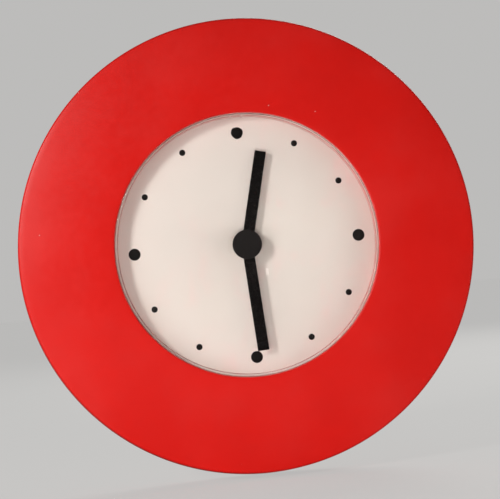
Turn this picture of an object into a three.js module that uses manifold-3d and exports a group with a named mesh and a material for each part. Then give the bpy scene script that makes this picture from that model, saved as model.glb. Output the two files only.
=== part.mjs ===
// A battery wall clock: a broad red moulded ring around a recessed white dial, with plain black bar
// hands under a clear lens and a quartz movement behind. Millimetres, +Z up to 12 o'clock, and +Y into
// the wall: the wall is the plane y = 0, the spindle is the Y axis, and the dial faces -Y.
// Heights are measured off the wall towards the viewer, so a point at height h has y = -h.
import * as THREE from 'three';
import { mergeVertices } from 'three/addons/utils/BufferGeometryUtils.js';
import Module from 'manifold-3d';

const wasm = await Module();
wasm.setup();

// ---- Driving dimensions ----

const GAP = 0.3; // between pieces that touch
const DEG = Math.PI / 180;

// Case ring
const RIM_RADIUS = 175; // the rear rim, on the wall
const SHOULDER_RADIUS = 170.5; // where the draughted side meets the face
const OPENING_RADIUS = 98.7;
const SKIN = 2.4; // moulded wall thickness
const CROWN_RADIUS = 400; // the face is part of a shallow dome section
const CREST_RADIUS = 104; // where the face stands highest
const CREST_HEIGHT = 37.5;

// Dial, lens and the plate behind them
const PLATE_REAR = 21.2;
const PLATE_FRONT = 23.4;
const PLATE_RADIUS = 112;
const DIAL_REAR = PLATE_FRONT + 0.2;
const DIAL_FRONT = DIAL_REAR + 1;
const DIAL_RADIUS = OPENING_RADIUS - 0.7;
const LENS_RADIUS = OPENING_RADIUS - 0.4;
const LENS_REAR = 35.3;
const LENS_FRONT = 36.9;

// Hands
const HAND_WIDTH = 8.5;
const HAND_THICKNESS = 0.8;
const HOUR_HAND_LENGTH = 71;
const MINUTE_HAND_LENGTH = 80;
const HOUR_HAND_REAR = 28.7;
const MINUTE_HAND_REAR = 30.7;
const HOUR_HAND_ANGLE = 13.2 * DEG; // clockwise from 12
const MINUTE_HAND_ANGLE = 176.2 * DEG;
const CAP_RADIUS = 11;

// Movement
const MOVEMENT_SIZE = 56;
const MOVEMENT_WALL = 1.5;
const MOVEMENT_CORNER = 4;
const MOVEMENT_FRONT = 20;
const CAVITY_FRONT = 18.8;
const CAVITY_REAR = 5.4;
const LID_REAR = 4;
const LID_FRONT = 5.1;
const BUSH_RADIUS = 4;
const BUSH_FRONT = 28.2;

// Battery bay, along the bottom of the movement
const BATTERY_RADIUS = 7.1;
const BATTERY_Z = -19;
const BATTERY_HEIGHT = 11.6;
const BAY_WALL_BOTTOM = -11.4;
const BAY_WALL_TOP = -10.4;

// Hanger
const HANGER_Z = 82;
const HANGER_SCREW_X = 17;
const HANGER_REAR = 3;
const HANGER_FRONT = 4.3;

// Fineness of the round shapes
const LARGE = 60;
const MEDIUM = 24;
const SMALL = 14;
const TINY = 10;

// ---- Finishes ----

const finish = (color, roughness, metalness = 0) =>
  new THREE.MeshStandardMaterial({ color, roughness, metalness });

const redPlastic = finish(0xd21f1c, 0.32);
const whiteDial = finish(0xe8dcd2, 0.6);
const blackGloss = finish(0x0d0a0a, 0.25);
const blackSatin = finish(0x1c1716, 0.5);
const whitePlastic = finish(0xd9d7d0, 0.5);
const blackPlastic = finish(0x17181a, 0.45);
const naturalPlastic = finish(0xd8d2c0, 0.45);
const brass = finish(0xc9a24a, 0.3, 1);
const steel = finish(0xb4b6b8, 0.35, 1);
const rubber = finish(0x151515, 0.85);
const copper = finish(0xb5622d, 0.4, 1);
const magnet = finish(0x3a3a3d, 0.5, 0.6);
const boardGreen = finish(0x1f5a36, 0.55);
const batteryWrap = finish(0x2d6f8e, 0.35);
const clear = new THREE.MeshStandardMaterial({
  color: 0xf4f6f6, roughness: 0.08, transparent: true, opacity: 0.25,
});

// ---- Shape tools ----

// A closed solid from a geometry: shared vertices merged, slivers dropped, faces turned outwards.
function solid(geometry) {
  const plain = geometry.clone();
  plain.deleteAttribute('normal');
  plain.deleteAttribute('uv');
  const merged = mergeVertices(plain, 1e-5);
  const corners = merged.index.array;
  const triangles = [];
  for (let i = 0; i < corners.length; i += 3) {
    const [a, b, c] = corners.slice(i, i + 3);
    if (a !== b && b !== c && c !== a) triangles.push(a, b, c);
  }
  const points = merged.attributes.position.array;
  const outward = signedVolume(points, triangles) > 0 ? triangles : triangles.reverse();
  const vertProperties = new Float32Array(points);
  const triVerts = new Uint32Array(outward);
  return new wasm.Manifold(new wasm.Mesh({ numProp: 3, vertProperties, triVerts }));
}

function signedVolume(points, triangles) {
  const corner = (n) => new THREE.Vector3().fromArray(points, 3 * n);
  let volume = 0;
  for (let i = 0; i < triangles.length; i += 3) {
    const [a, b, c] = [0, 1, 2].map((k) => corner(triangles[i + k]));
    volume += a.dot(b.cross(c));
  }
  return volume;
}

// A named mesh of a solid.
function piece(name, body, material) {
  const { vertProperties, triVerts } = body.getMesh();
  const geometry = new THREE.BufferGeometry();
  geometry.setAttribute('position', new THREE.BufferAttribute(vertProperties, 3));
  geometry.setIndex(new THREE.BufferAttribute(triVerts, 1));
  geometry.computeVertexNormals();
  const mesh = new THREE.Mesh(geometry, material);
  mesh.name = name;
  return mesh;
}

// A solid of revolution about the spindle, from a closed outline of [radius, height] points.
function turned(outline, segments = MEDIUM) {
  const profile = outline.map(([radius, height]) => new THREE.Vector2(radius, -height));
  profile.push(profile[0].clone());
  return solid(new THREE.LatheGeometry(profile, segments));
}

const ring = (inner, outer, rear, front, segments = MEDIUM) =>
  turned([[inner, rear], [outer, rear], [outer, front], [inner, front]], segments);

const rod = (radius, rear, front, segments = TINY) =>
  solid(new THREE.CylinderGeometry(radius, radius, front - rear, segments)
    .translate(0, -(rear + front) / 2, 0));

const hexRod = (acrossFlats, rear, front) =>
  rod(acrossFlats / 2 / Math.cos(Math.PI / 6), rear, front, 6);

// A plate of a shape drawn as seen from the front, with y for up, between two heights.
function plate(shape, rear, front, curveSegments = 6) {
  const options = { depth: front - rear, bevelEnabled: false, curveSegments };
  const geometry = new THREE.ExtrudeGeometry(shape, options);
  return solid(geometry.rotateX(Math.PI / 2).translate(0, -rear, 0));
}

const block = (left, right, bottom, top, rear, front) =>
  solid(new THREE.BoxGeometry(right - left, front - rear, top - bottom)
    .translate((left + right) / 2, -(rear + front) / 2, (bottom + top) / 2));

function roundedRectangle(left, right, bottom, top, radius) {
  const shape = new THREE.Shape();
  shape.absarc(right - radius, top - radius, radius, 0, Math.PI / 2);
  shape.absarc(left + radius, top - radius, radius, Math.PI / 2, Math.PI);
  shape.absarc(left + radius, bottom + radius, radius, Math.PI, 1.5 * Math.PI);
  shape.absarc(right - radius, bottom + radius, radius, 1.5 * Math.PI, 2 * Math.PI);
  return shape;
}

const at = (body, { x, z }) => body.translate([x, 0, z]);

// A point at a distance from another, in a direction given clockwise from up.
const away = (from, distance, bearing) => ({
  x: from.x + distance * Math.sin(bearing),
  z: from.z + distance * Math.cos(bearing),
});

// ---- Gearing ----

const MOTION_MODULE = 0.35; // cannon pinion, minute wheel and setting pinion
const HOUR_MODULE = 0.336; // gives the hour pair the same centre distance
const CENTRE_MODULE = 0.28;
const STEP_MODULE = 0.4;
const ROTOR_MODULE = 0.2;
const CANNON_TEETH = 12;
const MINUTE_WHEEL_TEETH = 36;
const HOUR_PINION_TEETH = 10;
const HOUR_WHEEL_TEETH = 40;
const SETTING_TEETH = 12;
const CENTRE_WHEEL_TEETH = 64;
const THIRD_WHEEL_TEETH = 60;
const TRAIN_PINION_TEETH = 8; // third, second and rotor pinions
const SECOND_WHEEL_TEETH = 30;
const STEP_PINION_TEETH = 6;
const STEP_WHEEL_TEETH = 48;

const centreDistance = (teethA, teethB, module) => ((teethA + teethB) * module) / 2;

const THIRD_DISTANCE = centreDistance(CENTRE_WHEEL_TEETH, TRAIN_PINION_TEETH, CENTRE_MODULE);
const THIRD_MODULE = (2 * THIRD_DISTANCE) / (THIRD_WHEEL_TEETH + TRAIN_PINION_TEETH);

// Where each arbor stands, as seen from the front.
const spindle = { x: 0, z: 0 };
const MOTION_DISTANCE = centreDistance(CANNON_TEETH, MINUTE_WHEEL_TEETH, MOTION_MODULE);
const STEP_DISTANCE = centreDistance(SECOND_WHEEL_TEETH, STEP_PINION_TEETH, STEP_MODULE);
const ROTOR_DISTANCE = centreDistance(STEP_WHEEL_TEETH, TRAIN_PINION_TEETH, ROTOR_MODULE);
const minuteArbor = away(spindle, MOTION_DISTANCE, 20 * DEG);
const settingArbor = away(minuteArbor, MOTION_DISTANCE, 20 * DEG);
const thirdArbor = away(spindle, THIRD_DISTANCE, 85 * DEG);
const stepArbor = away(spindle, STEP_DISTANCE, -110 * DEG);
const rotorArbor = away(stepArbor, ROTOR_DISTANCE, -90 * DEG);

// A spur gear's outline, with its first tooth pointing up. Teeth are thinner than half the pitch, so a
// pair runs with backlash. A wheel's flanks are straight from root to tip; a pinion's leaves are
// radial below the pitch circle.
function gearShape(teeth, module) {
  const isPinion = teeth <= CANNON_TEETH;
  const pitchRadius = (teeth * module) / 2;
  const tipRadius = pitchRadius + (isPinion ? 0.75 : 0.8) * module;
  const rootRadius = pitchRadius - 1.15 * module;
  const pitchHalf = (Math.PI / (2 * teeth)) * 0.74;
  const tipHalf = ((pitchHalf * pitchRadius) / tipRadius) * 0.55;
  const rootHalf = pitchHalf * (isPinion ? 1 : 1.35);
  const flank = isPinion
    ? [[rootRadius, rootHalf], [pitchRadius, pitchHalf], [tipRadius, tipHalf]]
    : [[rootRadius, rootHalf], [tipRadius, tipHalf]];
  const points = [];
  for (let tooth = 0; tooth < teeth; tooth += 1) {
    const middle = (tooth * 2 * Math.PI) / teeth;
    const rising = flank.map(([radius, half]) => [radius, middle - half]);
    const falling = flank.map(([radius, half]) => [radius, middle + half]).reverse();
    for (const [radius, angle] of [...rising, ...falling]) {
      points.push(new THREE.Vector2(radius * Math.sin(angle), radius * Math.cos(angle)));
    }
  }
  return new THREE.Shape(points);
}

const gear = (teeth, module, rear, front) => plate(gearShape(teeth, module), rear, front);

// How far a gear must be turned so that it meshes with another that stands at a known turn. Each gear
// is given by its teeth and its arbor.
function meshedTurn([teeth, arbor], turn, [otherTeeth, otherArbor]) {
  const bearing = Math.atan2(otherArbor.x - arbor.x, otherArbor.z - arbor.z);
  const share = ((bearing - turn) * teeth) / (2 * Math.PI);
  return bearing + Math.PI - ((0.5 - share) * 2 * Math.PI) / otherTeeth;
}

const minuteWheelGear = [MINUTE_WHEEL_TEETH, minuteArbor];
const secondWheelPinion = [TRAIN_PINION_TEETH, spindle];
const stepWheelPinion = [STEP_PINION_TEETH, stepArbor];
const minuteWheelTurn = meshedTurn([CANNON_TEETH, spindle], 0, minuteWheelGear);
const hourPinion = [HOUR_PINION_TEETH, minuteArbor];
const hourWheelTurn = meshedTurn(hourPinion, minuteWheelTurn, [HOUR_WHEEL_TEETH, spindle]);
const settingTurn = meshedTurn(minuteWheelGear, minuteWheelTurn, [SETTING_TEETH, settingArbor]);
const thirdPinion = [TRAIN_PINION_TEETH, thirdArbor];
const thirdWheelTurn = meshedTurn([CENTRE_WHEEL_TEETH, spindle], 0, thirdPinion);
const thirdWheelGear = [THIRD_WHEEL_TEETH, thirdArbor];
const secondWheelTurn = meshedTurn(thirdWheelGear, thirdWheelTurn, secondWheelPinion);
const secondWheelGear = [SECOND_WHEEL_TEETH, spindle];
const stepWheelTurn = meshedTurn(secondWheelGear, secondWheelTurn, stepWheelPinion);
const stepWheelGear = [STEP_WHEEL_TEETH, stepArbor];
const rotorTurn = meshedTurn(stepWheelGear, stepWheelTurn, [TRAIN_PINION_TEETH, rotorArbor]);

// Sets a mesh on its arbor, turned clockwise as seen from the front.
function place(mesh, arbor, turn = 0) {
  mesh.position.set(arbor.x, 0, arbor.z);
  mesh.rotation.y = turn;
  return mesh;
}

// ---- Case ring ----

const faceHeight = (radius) =>
  CREST_HEIGHT - CROWN_RADIUS + Math.sqrt(CROWN_RADIUS ** 2 - (radius - CREST_RADIUS) ** 2);

const SHOULDER_HEIGHT = faceHeight(SHOULDER_RADIUS);
const SIDE_DRAUGHT = (RIM_RADIUS - SHOULDER_RADIUS) / SHOULDER_HEIGHT;
const sideRadius = (height) => RIM_RADIUS - SIDE_DRAUGHT * height;

const BOSS_RADIUS = 3.7;
const BOSS_CIRCLE = OPENING_RADIUS + 5.5;
const BOSS_REAR = PLATE_FRONT + GAP;
const BOSS_ANGLES = [45, 135, 225, 315];
const RIB_COUNT = 8;

// The ring's section: a draughted side, a rounded shoulder, a shallow crowned face and a straight
// opening wall, all one thickness.
function caseSection() {
  const shoulder = 2.4;
  const lip = 0.8;
  const outside = new THREE.Path();
  outside.moveTo(RIM_RADIUS, 0);
  outside.lineTo(sideRadius(SHOULDER_HEIGHT - shoulder), SHOULDER_HEIGHT - shoulder);
  const faceStart = SHOULDER_RADIUS - shoulder;
  outside.quadraticCurveTo(SHOULDER_RADIUS, SHOULDER_HEIGHT, faceStart, faceHeight(faceStart));
  const points = outside.getPoints(3).map(({ x, y }) => [x, y]);
  points.shift();
  const faceEnd = OPENING_RADIUS + lip;
  const steps = 5;
  for (let step = 1; step <= steps; step += 1) {
    const radius = faceStart + ((faceEnd - faceStart) * step) / steps;
    points.push([radius, faceHeight(radius)]);
  }
  const middle = (OPENING_RADIUS + SHOULDER_RADIUS) / 2;
  return [
    [RIM_RADIUS, 0],
    ...points,
    [OPENING_RADIUS, faceHeight(OPENING_RADIUS) - lip],
    [OPENING_RADIUS, BOSS_REAR],
    [OPENING_RADIUS + SKIN, BOSS_REAR],
    [OPENING_RADIUS + SKIN, faceHeight(CREST_RADIUS) - SKIN],
    [middle, faceHeight(middle) - SKIN],
    [SHOULDER_RADIUS - SKIN, faceHeight(SHOULDER_RADIUS - SKIN) - SKIN],
    [RIM_RADIUS - SKIN, 0],
  ];
}

// A stiffening blade under the face, between the opening wall and the side.
function caseRib() {
  const thickness = 1.8;
  const rear = BOSS_REAR;
  const inside = OPENING_RADIUS + SKIN / 2;
  const outside = sideRadius(rear) - SKIN / 2;
  const top = (radius) => faceHeight(radius) - SKIN / 2;
  const blade = new THREE.Shape([
    new THREE.Vector2(inside, rear),
    new THREE.Vector2(outside, rear),
    new THREE.Vector2(SHOULDER_RADIUS - SKIN / 2, top(SHOULDER_RADIUS - SKIN / 2)),
    new THREE.Vector2((inside + outside) / 2, top((inside + outside) / 2)),
    new THREE.Vector2(inside, top(inside)),
  ]);
  const geometry = new THREE.ExtrudeGeometry(blade, { depth: thickness, bevelEnabled: false });
  geometry.translate(0, 0, -thickness / 2).scale(1, -1, 1);
  return solid(geometry);
}

function caseRing() {
  const pilotEnd = 33;
  let body = turned(caseSection(), LARGE);
  const rib = caseRib();
  for (let n = 0; n < RIB_COUNT; n += 1) {
    body = body.add(rib.rotate([0, ((n + 0.5) * 360) / RIB_COUNT, 0]));
  }
  for (const angle of BOSS_ANGLES) {
    const centre = away(spindle, BOSS_CIRCLE, angle * DEG);
    const boss = rod(BOSS_RADIUS, BOSS_REAR, faceHeight(BOSS_CIRCLE) - SKIN / 2, SMALL);
    const pilot = rod(SCREW_HOLE, BOSS_REAR - 1, pilotEnd, TINY);
    body = body.add(at(boss, centre)).subtract(at(pilot, centre));
  }
  return piece('case_ring', body, redPlastic);
}

// ---- Screws ----

const SCREW_SHANK = 1.1;
const SCREW_HOLE = SCREW_SHANK + GAP; // moulded pilot
const SCREW_CLEARANCE = 1.8; // drilled or moulded through-hole

// A pan-head screw driven forwards, with the underside of its head at a height.
function screw(name, underHead, length, centre) {
  const head = 3;
  const headHeight = 1.8;
  const headEdge = 0.9;
  const point = 1;
  const body = turned([
    [0, underHead - headHeight],
    [head - headEdge, underHead - headHeight],
    [head, underHead - headEdge],
    [head, underHead],
    [SCREW_SHANK, underHead],
    [SCREW_SHANK, underHead + length - point],
    [0, underHead + length],
  ], TINY);
  return place(piece(name, body, steel), centre);
}

// ---- Dial, its plate and the lens ----

const BUSH_HOLE = BUSH_RADIUS + GAP;

const dial = () =>
  piece('dial', ring(BUSH_HOLE, DIAL_RADIUS, DIAL_REAR, DIAL_FRONT, LARGE), whiteDial);

// The moulded plate that carries the dial and the movement, with a stiffening rim, four ribs, a low
// frame that keeps the movement square and two posts for the hanger.
function backPlate() {
  const thickness = PLATE_FRONT - PLATE_REAR;
  const rooted = PLATE_REAR + 0.5; // ribs, frame and posts start inside the plate
  const rimRear = 16;
  const frameRear = 18.6;
  const frameInside = MOVEMENT_SIZE / 2 + 0.6;
  const frameOutside = frameInside + 1.4;
  let body = turned([
    [BUSH_HOLE, PLATE_REAR],
    [PLATE_RADIUS - thickness, PLATE_REAR],
    [PLATE_RADIUS - thickness, rimRear],
    [PLATE_RADIUS, rimRear],
    [PLATE_RADIUS, PLATE_FRONT],
    [BUSH_HOLE, PLATE_FRONT],
  ], LARGE);
  const square = (half, rear, front) => block(-half, half, -half, half, rear, front);
  const window = square(frameInside, frameRear - 1, PLATE_FRONT);
  body = body.add(square(frameOutside, frameRear, rooted).subtract(window));
  const ribHalf = 0.9;
  const ribBearing = 65;
  const ribStart = frameOutside / Math.sin(ribBearing * DEG);
  const rib = block(-ribHalf, ribHalf, ribStart, PLATE_RADIUS - 1, frameRear, rooted);
  for (const angle of [ribBearing, 180 - ribBearing, 180 + ribBearing, -ribBearing]) {
    body = body.add(rib.rotate([0, angle, 0]));
  }
  const postRadius = 4;
  const pilotDepth = 13;
  for (const side of [-1, 1]) {
    const centre = { x: side * HANGER_SCREW_X, z: HANGER_Z };
    const post = rod(postRadius, HANGER_FRONT + GAP, rooted, SMALL);
    const pilot = rod(SCREW_HOLE, HANGER_FRONT, HANGER_FRONT + pilotDepth, TINY);
    body = body.add(at(post, centre)).subtract(at(pilot, centre));
  }
  const hole = rod(SCREW_CLEARANCE, rimRear, PLATE_FRONT + 1, TINY);
  for (const angle of BOSS_ANGLES) {
    body = body.subtract(at(hole, away(spindle, BOSS_CIRCLE, angle * DEG)));
  }
  return piece('back_plate', body, whitePlastic);
}

// A clear disc with a skirt that stands on the dial's edge, and two locating lugs at 12 o'clock.
function lens() {
  const skirt = 1.8;
  const bevel = 0.5;
  const skirtRear = DIAL_FRONT + GAP;
  let body = turned([
    [0, LENS_REAR],
    [LENS_RADIUS - skirt, LENS_REAR],
    [LENS_RADIUS - skirt, skirtRear],
    [LENS_RADIUS, skirtRear],
    [LENS_RADIUS, LENS_FRONT - bevel],
    [LENS_RADIUS - bevel, LENS_FRONT],
    [0, LENS_FRONT],
  ], LARGE);
  const lugHalf = 0.6;
  const lugDepth = 2;
  const lugSpacing = 8.4;
  const lugTop = LENS_RADIUS - skirt / 2;
  const lug = block(-lugHalf, lugHalf, lugTop - lugDepth, lugTop, skirtRear, LENS_REAR + bevel);
  for (const side of [-1, 1]) {
    body = body.add(at(lug, { x: (side * lugSpacing) / 2, z: 0 }));
  }
  return piece('lens', body, clear);
}

// ---- Hanger ----

const KEYHOLE_ENTRY = 4.75;
const KEYHOLE_SLOT = 2.3;
const KEYHOLE_TOP = HANGER_Z + 4;
const KEYHOLE_ENTRY_Z = HANGER_Z - 3.5;

// A steel strap with a keyhole: the nail's head goes through the round entry, and the flat top of the
// slot rests on the nail's shank.
function hangerPlate() {
  const halfLength = 23;
  const halfWidth = 10;
  const [bottom, top] = [HANGER_Z - halfWidth, HANGER_Z + halfWidth];
  const shape = roundedRectangle(-halfLength, halfLength, bottom, top, 4);
  const meet = Math.sqrt(KEYHOLE_ENTRY ** 2 - KEYHOLE_SLOT ** 2);
  const meetAngle = Math.atan2(meet, KEYHOLE_SLOT);
  const keyhole = new THREE.Path();
  keyhole.moveTo(-KEYHOLE_SLOT, KEYHOLE_TOP);
  keyhole.lineTo(-KEYHOLE_SLOT, KEYHOLE_ENTRY_Z + meet);
  const [arcStart, arcEnd] = [Math.PI - meetAngle, 2 * Math.PI + meetAngle];
  keyhole.absarc(0, KEYHOLE_ENTRY_Z, KEYHOLE_ENTRY, arcStart, arcEnd, false);
  keyhole.lineTo(KEYHOLE_SLOT, KEYHOLE_TOP);
  shape.holes.push(keyhole);
  for (const side of [-1, 1]) {
    const hole = new THREE.Path();
    hole.absarc(side * HANGER_SCREW_X, HANGER_Z, SCREW_CLEARANCE, 0, 2 * Math.PI);
    shape.holes.push(hole);
  }
  return piece('hanger_plate', plate(shape, HANGER_REAR, HANGER_FRONT), steel);
}

// ---- Hands ----

const HOUR_PIPE = 2.5;
const HOUR_BORE = 2;
const CANNON_PIPE = 1.7;
const CANNON_BORE = 1;
const SECOND_ARBOR = 0.6;
const STEP_ARBOR = 0.45;
const ARBOR_REAR = 5.9;
const CANNON_FRONT = 32;

// A plain bar with a square tip, widened around the pipe that carries it.
function hand(name, length, rear, bore, angle) {
  const half = HAND_WIDTH / 2;
  const collar = 6.4;
  const join = Math.asin(half / collar);
  const shape = new THREE.Shape();
  shape.moveTo(half, length);
  shape.lineTo(-half, length);
  shape.absarc(0, 0, collar, Math.PI / 2 + join, Math.PI / 2 - join + 2 * Math.PI, false);
  shape.closePath();
  shape.holes.push(new THREE.Path().absarc(0, 0, bore, 0, 2 * Math.PI));
  const mesh = piece(name, plate(shape, rear, rear + HAND_THICKNESS, 10), blackGloss);
  mesh.rotation.y = angle;
  return mesh;
}

// The disc pressed over the end of the minute pipe.
function centreCap() {
  const rear = MINUTE_HAND_REAR + HAND_THICKNESS + GAP;
  const front = rear + 2.2;
  const edge = 0.4;
  const socket = CANNON_PIPE + GAP;
  const body = turned([
    [0, CANNON_FRONT + GAP],
    [socket, CANNON_FRONT + GAP],
    [socket, rear],
    [CAP_RADIUS, rear],
    [CAP_RADIUS, front - edge],
    [CAP_RADIUS - edge, front],
    [0, front],
  ]);
  return piece('centre_cap', body, blackSatin);
}

// ---- Fixing of the movement ----

const GASKET_RADIUS = 9;
const GASKET_GAP = 0.2;
const WASHER_RADIUS = 7.5;
const WASHER_REAR = DIAL_FRONT + GAP;
const WASHER_FRONT = WASHER_REAR + 0.6;
const NUT_ACROSS_FLATS = 12;
const NUT_HEIGHT = 2.2;

function gasket() {
  const [rear, front] = [MOVEMENT_FRONT + GASKET_GAP, PLATE_REAR - GASKET_GAP];
  return piece('rubber_gasket', ring(BUSH_HOLE, GASKET_RADIUS, rear, front), rubber);
}

const washer = () =>
  piece('brass_washer', ring(BUSH_HOLE, WASHER_RADIUS, WASHER_REAR, WASHER_FRONT), brass);

function bushNut() {
  const rear = WASHER_FRONT + GAP;
  const hole = rod(BUSH_HOLE, rear - 1, rear + NUT_HEIGHT + 1, SMALL);
  const body = hexRod(NUT_ACROSS_FLATS, rear, rear + NUT_HEIGHT).subtract(hole);
  return piece('bush_nut', body, brass);
}

// ---- Movement housing ----

const BRIDGE_REAR = 11.5;
const BRIDGE_FRONT = 12.2;
const PILLARS = [{ x: -13.5, z: 9.5 }, { x: 13.5, z: 10.8 }, { x: -12, z: -7.5 }, { x: 12.5, z: -7.5 }];
const PIVOT_HOLE = 0.9;

// The front half: a square tub with the threaded bush, the battery bay's inner wall, pillars for the
// train bridge and a post for the minute wheel.
function movementFrontHousing() {
  const half = MOVEMENT_SIZE / 2;
  const inner = half - MOVEMENT_WALL;
  const rooted = MOVEMENT_FRONT - 0.5; // walls and posts end inside the front wall
  const outline = roundedRectangle(-half, half, -half, half, MOVEMENT_CORNER);
  const cavity = roundedRectangle(-inner, inner, -inner, inner, MOVEMENT_CORNER - MOVEMENT_WALL);
  let body = plate(outline, CAVITY_REAR, MOVEMENT_FRONT);
  body = body.subtract(plate(cavity, CAVITY_REAR - 1, CAVITY_FRONT));
  const bayEnd = 25.4;
  body = body.add(block(-bayEnd, bayEnd, BAY_WALL_BOTTOM, BAY_WALL_TOP, CAVITY_REAR, rooted));
  body = body.add(rod(BUSH_RADIUS, rooted, BUSH_FRONT, MEDIUM));
  body = body.subtract(rod(HOUR_PIPE + GAP, CAVITY_FRONT - 1, BUSH_FRONT + 1, SMALL));
  const pillarRadius = 1.6;
  for (const pillar of PILLARS) {
    body = body.add(at(rod(pillarRadius, BRIDGE_FRONT + GAP, rooted), pillar));
  }
  const minutePostRear = 14.5;
  body = body.add(at(rod(0.9, minutePostRear, rooted), minuteArbor));
  const socketRadius = 1.8;
  for (const [arbor, rear] of [[thirdArbor, 14.6], [settingArbor, 16.8]]) {
    body = body.add(at(rod(socketRadius, rear, rooted), arbor));
    body = body.subtract(at(rod(PIVOT_HOLE, rear - 1, CAVITY_FRONT), arbor));
  }
  const notch = 8;
  const notchTop = 0.5 - inner;
  body = body.subtract(block(-notch, notch, -half - 1, notchTop, CAVITY_REAR - 1, BATTERY_HEIGHT));
  return piece('movement_front_housing', body, blackPlastic);
}

// The rear half: a lid over the train, which leaves the battery bay open.
function movementBackCover() {
  const half = MOVEMENT_SIZE / 2;
  const outline = roundedRectangle(-half, half, BAY_WALL_BOTTOM, half, MOVEMENT_CORNER);
  let body = plate(outline, LID_REAR, LID_FRONT);
  const bosses = [[spindle, 7.2], [thirdArbor, 7.2], [stepArbor, 6.4], [rotorArbor, 6.3]];
  for (const [arbor, front] of bosses) {
    body = body.add(at(rod(1.7, LID_FRONT - 0.5, front), arbor));
    body = body.subtract(at(rod(PIVOT_HOLE, LID_FRONT - 0.3, front + 1), arbor));
  }
  body = body.subtract(at(rod(1.6, LID_REAR - 1, LID_FRONT + 1, SMALL), settingArbor));
  return piece('movement_back_cover', body, blackPlastic);
}

// The plate between the going train and the motion work.
function trainBridge() {
  const shape = roundedRectangle(-15.5, 15.5, -9.4, 12.6, 2);
  let body = plate(shape, BRIDGE_REAR, BRIDGE_FRONT);
  const holes = [[spindle, PIVOT_HOLE], [thirdArbor, 1.7], [stepArbor, 0.75], [rotorArbor, 0.75]];
  for (const [arbor, radius] of holes) {
    body = body.subtract(at(rod(radius, BRIDGE_REAR - 1, BRIDGE_FRONT + 1), arbor));
  }
  return piece('train_bridge', body, naturalPlastic);
}

// ---- Motion work: the 12-to-1 gearing between the hands ----

const MOTION_REAR = 14.6; // the cannon pinion and the setting pinion start level

function cannonPinion() {
  const footRadius = 1.5;
  let body = gear(CANNON_TEETH, MOTION_MODULE, MOTION_REAR, 16);
  body = body.add(rod(CANNON_PIPE, 15.9, CANNON_FRONT, SMALL));
  body = body.add(rod(footRadius, BRIDGE_FRONT + GAP, MOTION_REAR + 0.1, SMALL));
  body = body.subtract(rod(CANNON_BORE, BRIDGE_FRONT, CANNON_FRONT + 1));
  return piece('cannon_pinion', body, brass);
}

function hourWheel() {
  let body = gear(HOUR_WHEEL_TEETH, HOUR_MODULE, 16.4, 17.6);
  body = body.add(rod(HOUR_PIPE, 17.5, HOUR_HAND_REAR + HAND_THICKNESS + GAP, SMALL));
  body = body.subtract(rod(HOUR_BORE, 16, MINUTE_HAND_REAR, SMALL));
  return place(piece('hour_wheel', body, naturalPlastic), spindle, hourWheelTurn);
}

function minuteWheel() {
  let body = gear(MINUTE_WHEEL_TEETH, MOTION_MODULE, 14.8, 15.8);
  body = body.add(gear(HOUR_PINION_TEETH, HOUR_MODULE, 15.7, 17.7));
  const bore = 1.2 / Math.cos(Math.PI / TINY); // across the corners of a round-off hole
  body = body.subtract(rod(bore, 14, 18));
  return place(piece('minute_wheel', body, naturalPlastic), minuteArbor, minuteWheelTurn);
}

// The thumb wheel on the back, with its shaft and pinion in one moulding.
function settingKnob() {
  const knobRadius = 6;
  const knobRear = 1.4;
  const knobEdge = 0.5;
  const shaftRadius = 1.2;
  const pivotRadius = 0.6;
  let body = turned([
    [0, knobRear],
    [knobRadius - knobEdge, knobRear],
    [knobRadius, knobRear + knobEdge],
    [knobRadius, LID_REAR - GAP],
    [0, LID_REAR - GAP],
  ], MEDIUM);
  body = body.add(rod(shaftRadius, LID_REAR - 0.5, MOTION_REAR + 0.1));
  body = body.add(gear(SETTING_TEETH, MOTION_MODULE, MOTION_REAR, 16.2));
  body = body.add(rod(pivotRadius, 16.1, 18.3));
  return place(piece('setting_knob', body, blackPlastic), settingArbor, settingTurn);
}

// ---- Going train: from the stepping rotor to the centre wheel ----

function centreWheel() {
  const bore = rod(CANNON_PIPE + 0.1, BRIDGE_FRONT, MOTION_REAR, SMALL);
  const body = gear(CENTRE_WHEEL_TEETH, CENTRE_MODULE, 12.6, 13.6).subtract(bore);
  return piece('centre_wheel', body, brass);
}

// An arbor with its wheel and pinion: each gear is [teeth, module, rear, front].
function trainWheel(name, arborRadius, arborRear, arborFront, gears, arbor, turn, material) {
  let body = rod(arborRadius, arborRear, arborFront);
  for (const [teeth, module, rear, front] of gears) {
    body = body.add(gear(teeth, module, rear, front));
  }
  return place(piece(name, body, material), arbor, turn);
}

const thirdWheel = () =>
  trainWheel('third_wheel', SECOND_ARBOR, ARBOR_REAR, 16, [
    [THIRD_WHEEL_TEETH, THIRD_MODULE, 10.3, 11.1],
    [TRAIN_PINION_TEETH, CENTRE_MODULE, 12.45, 13.9],
  ], thirdArbor, thirdWheelTurn, naturalPlastic);

const secondWheel = () =>
  trainWheel('second_wheel', SECOND_ARBOR, ARBOR_REAR, CANNON_FRONT - 0.4, [
    [SECOND_WHEEL_TEETH, STEP_MODULE, 8.6, 9.4],
    [TRAIN_PINION_TEETH, THIRD_MODULE, 10.1, 11.3],
  ], spindle, secondWheelTurn, naturalPlastic);

const stepWheel = () =>
  trainWheel('step_wheel', STEP_ARBOR, ARBOR_REAR, 12, [
    [STEP_WHEEL_TEETH, ROTOR_MODULE, 6.8, 7.5],
    [STEP_PINION_TEETH, STEP_MODULE, 8.4, 9.6],
  ], stepArbor, stepWheelTurn, naturalPlastic);

const rotorPinion = () =>
  trainWheel('rotor_pinion', STEP_ARBOR, ARBOR_REAR, 12, [
    [TRAIN_PINION_TEETH, ROTOR_MODULE, 6.6, 7.8],
  ], rotorArbor, rotorTurn, naturalPlastic);

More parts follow.
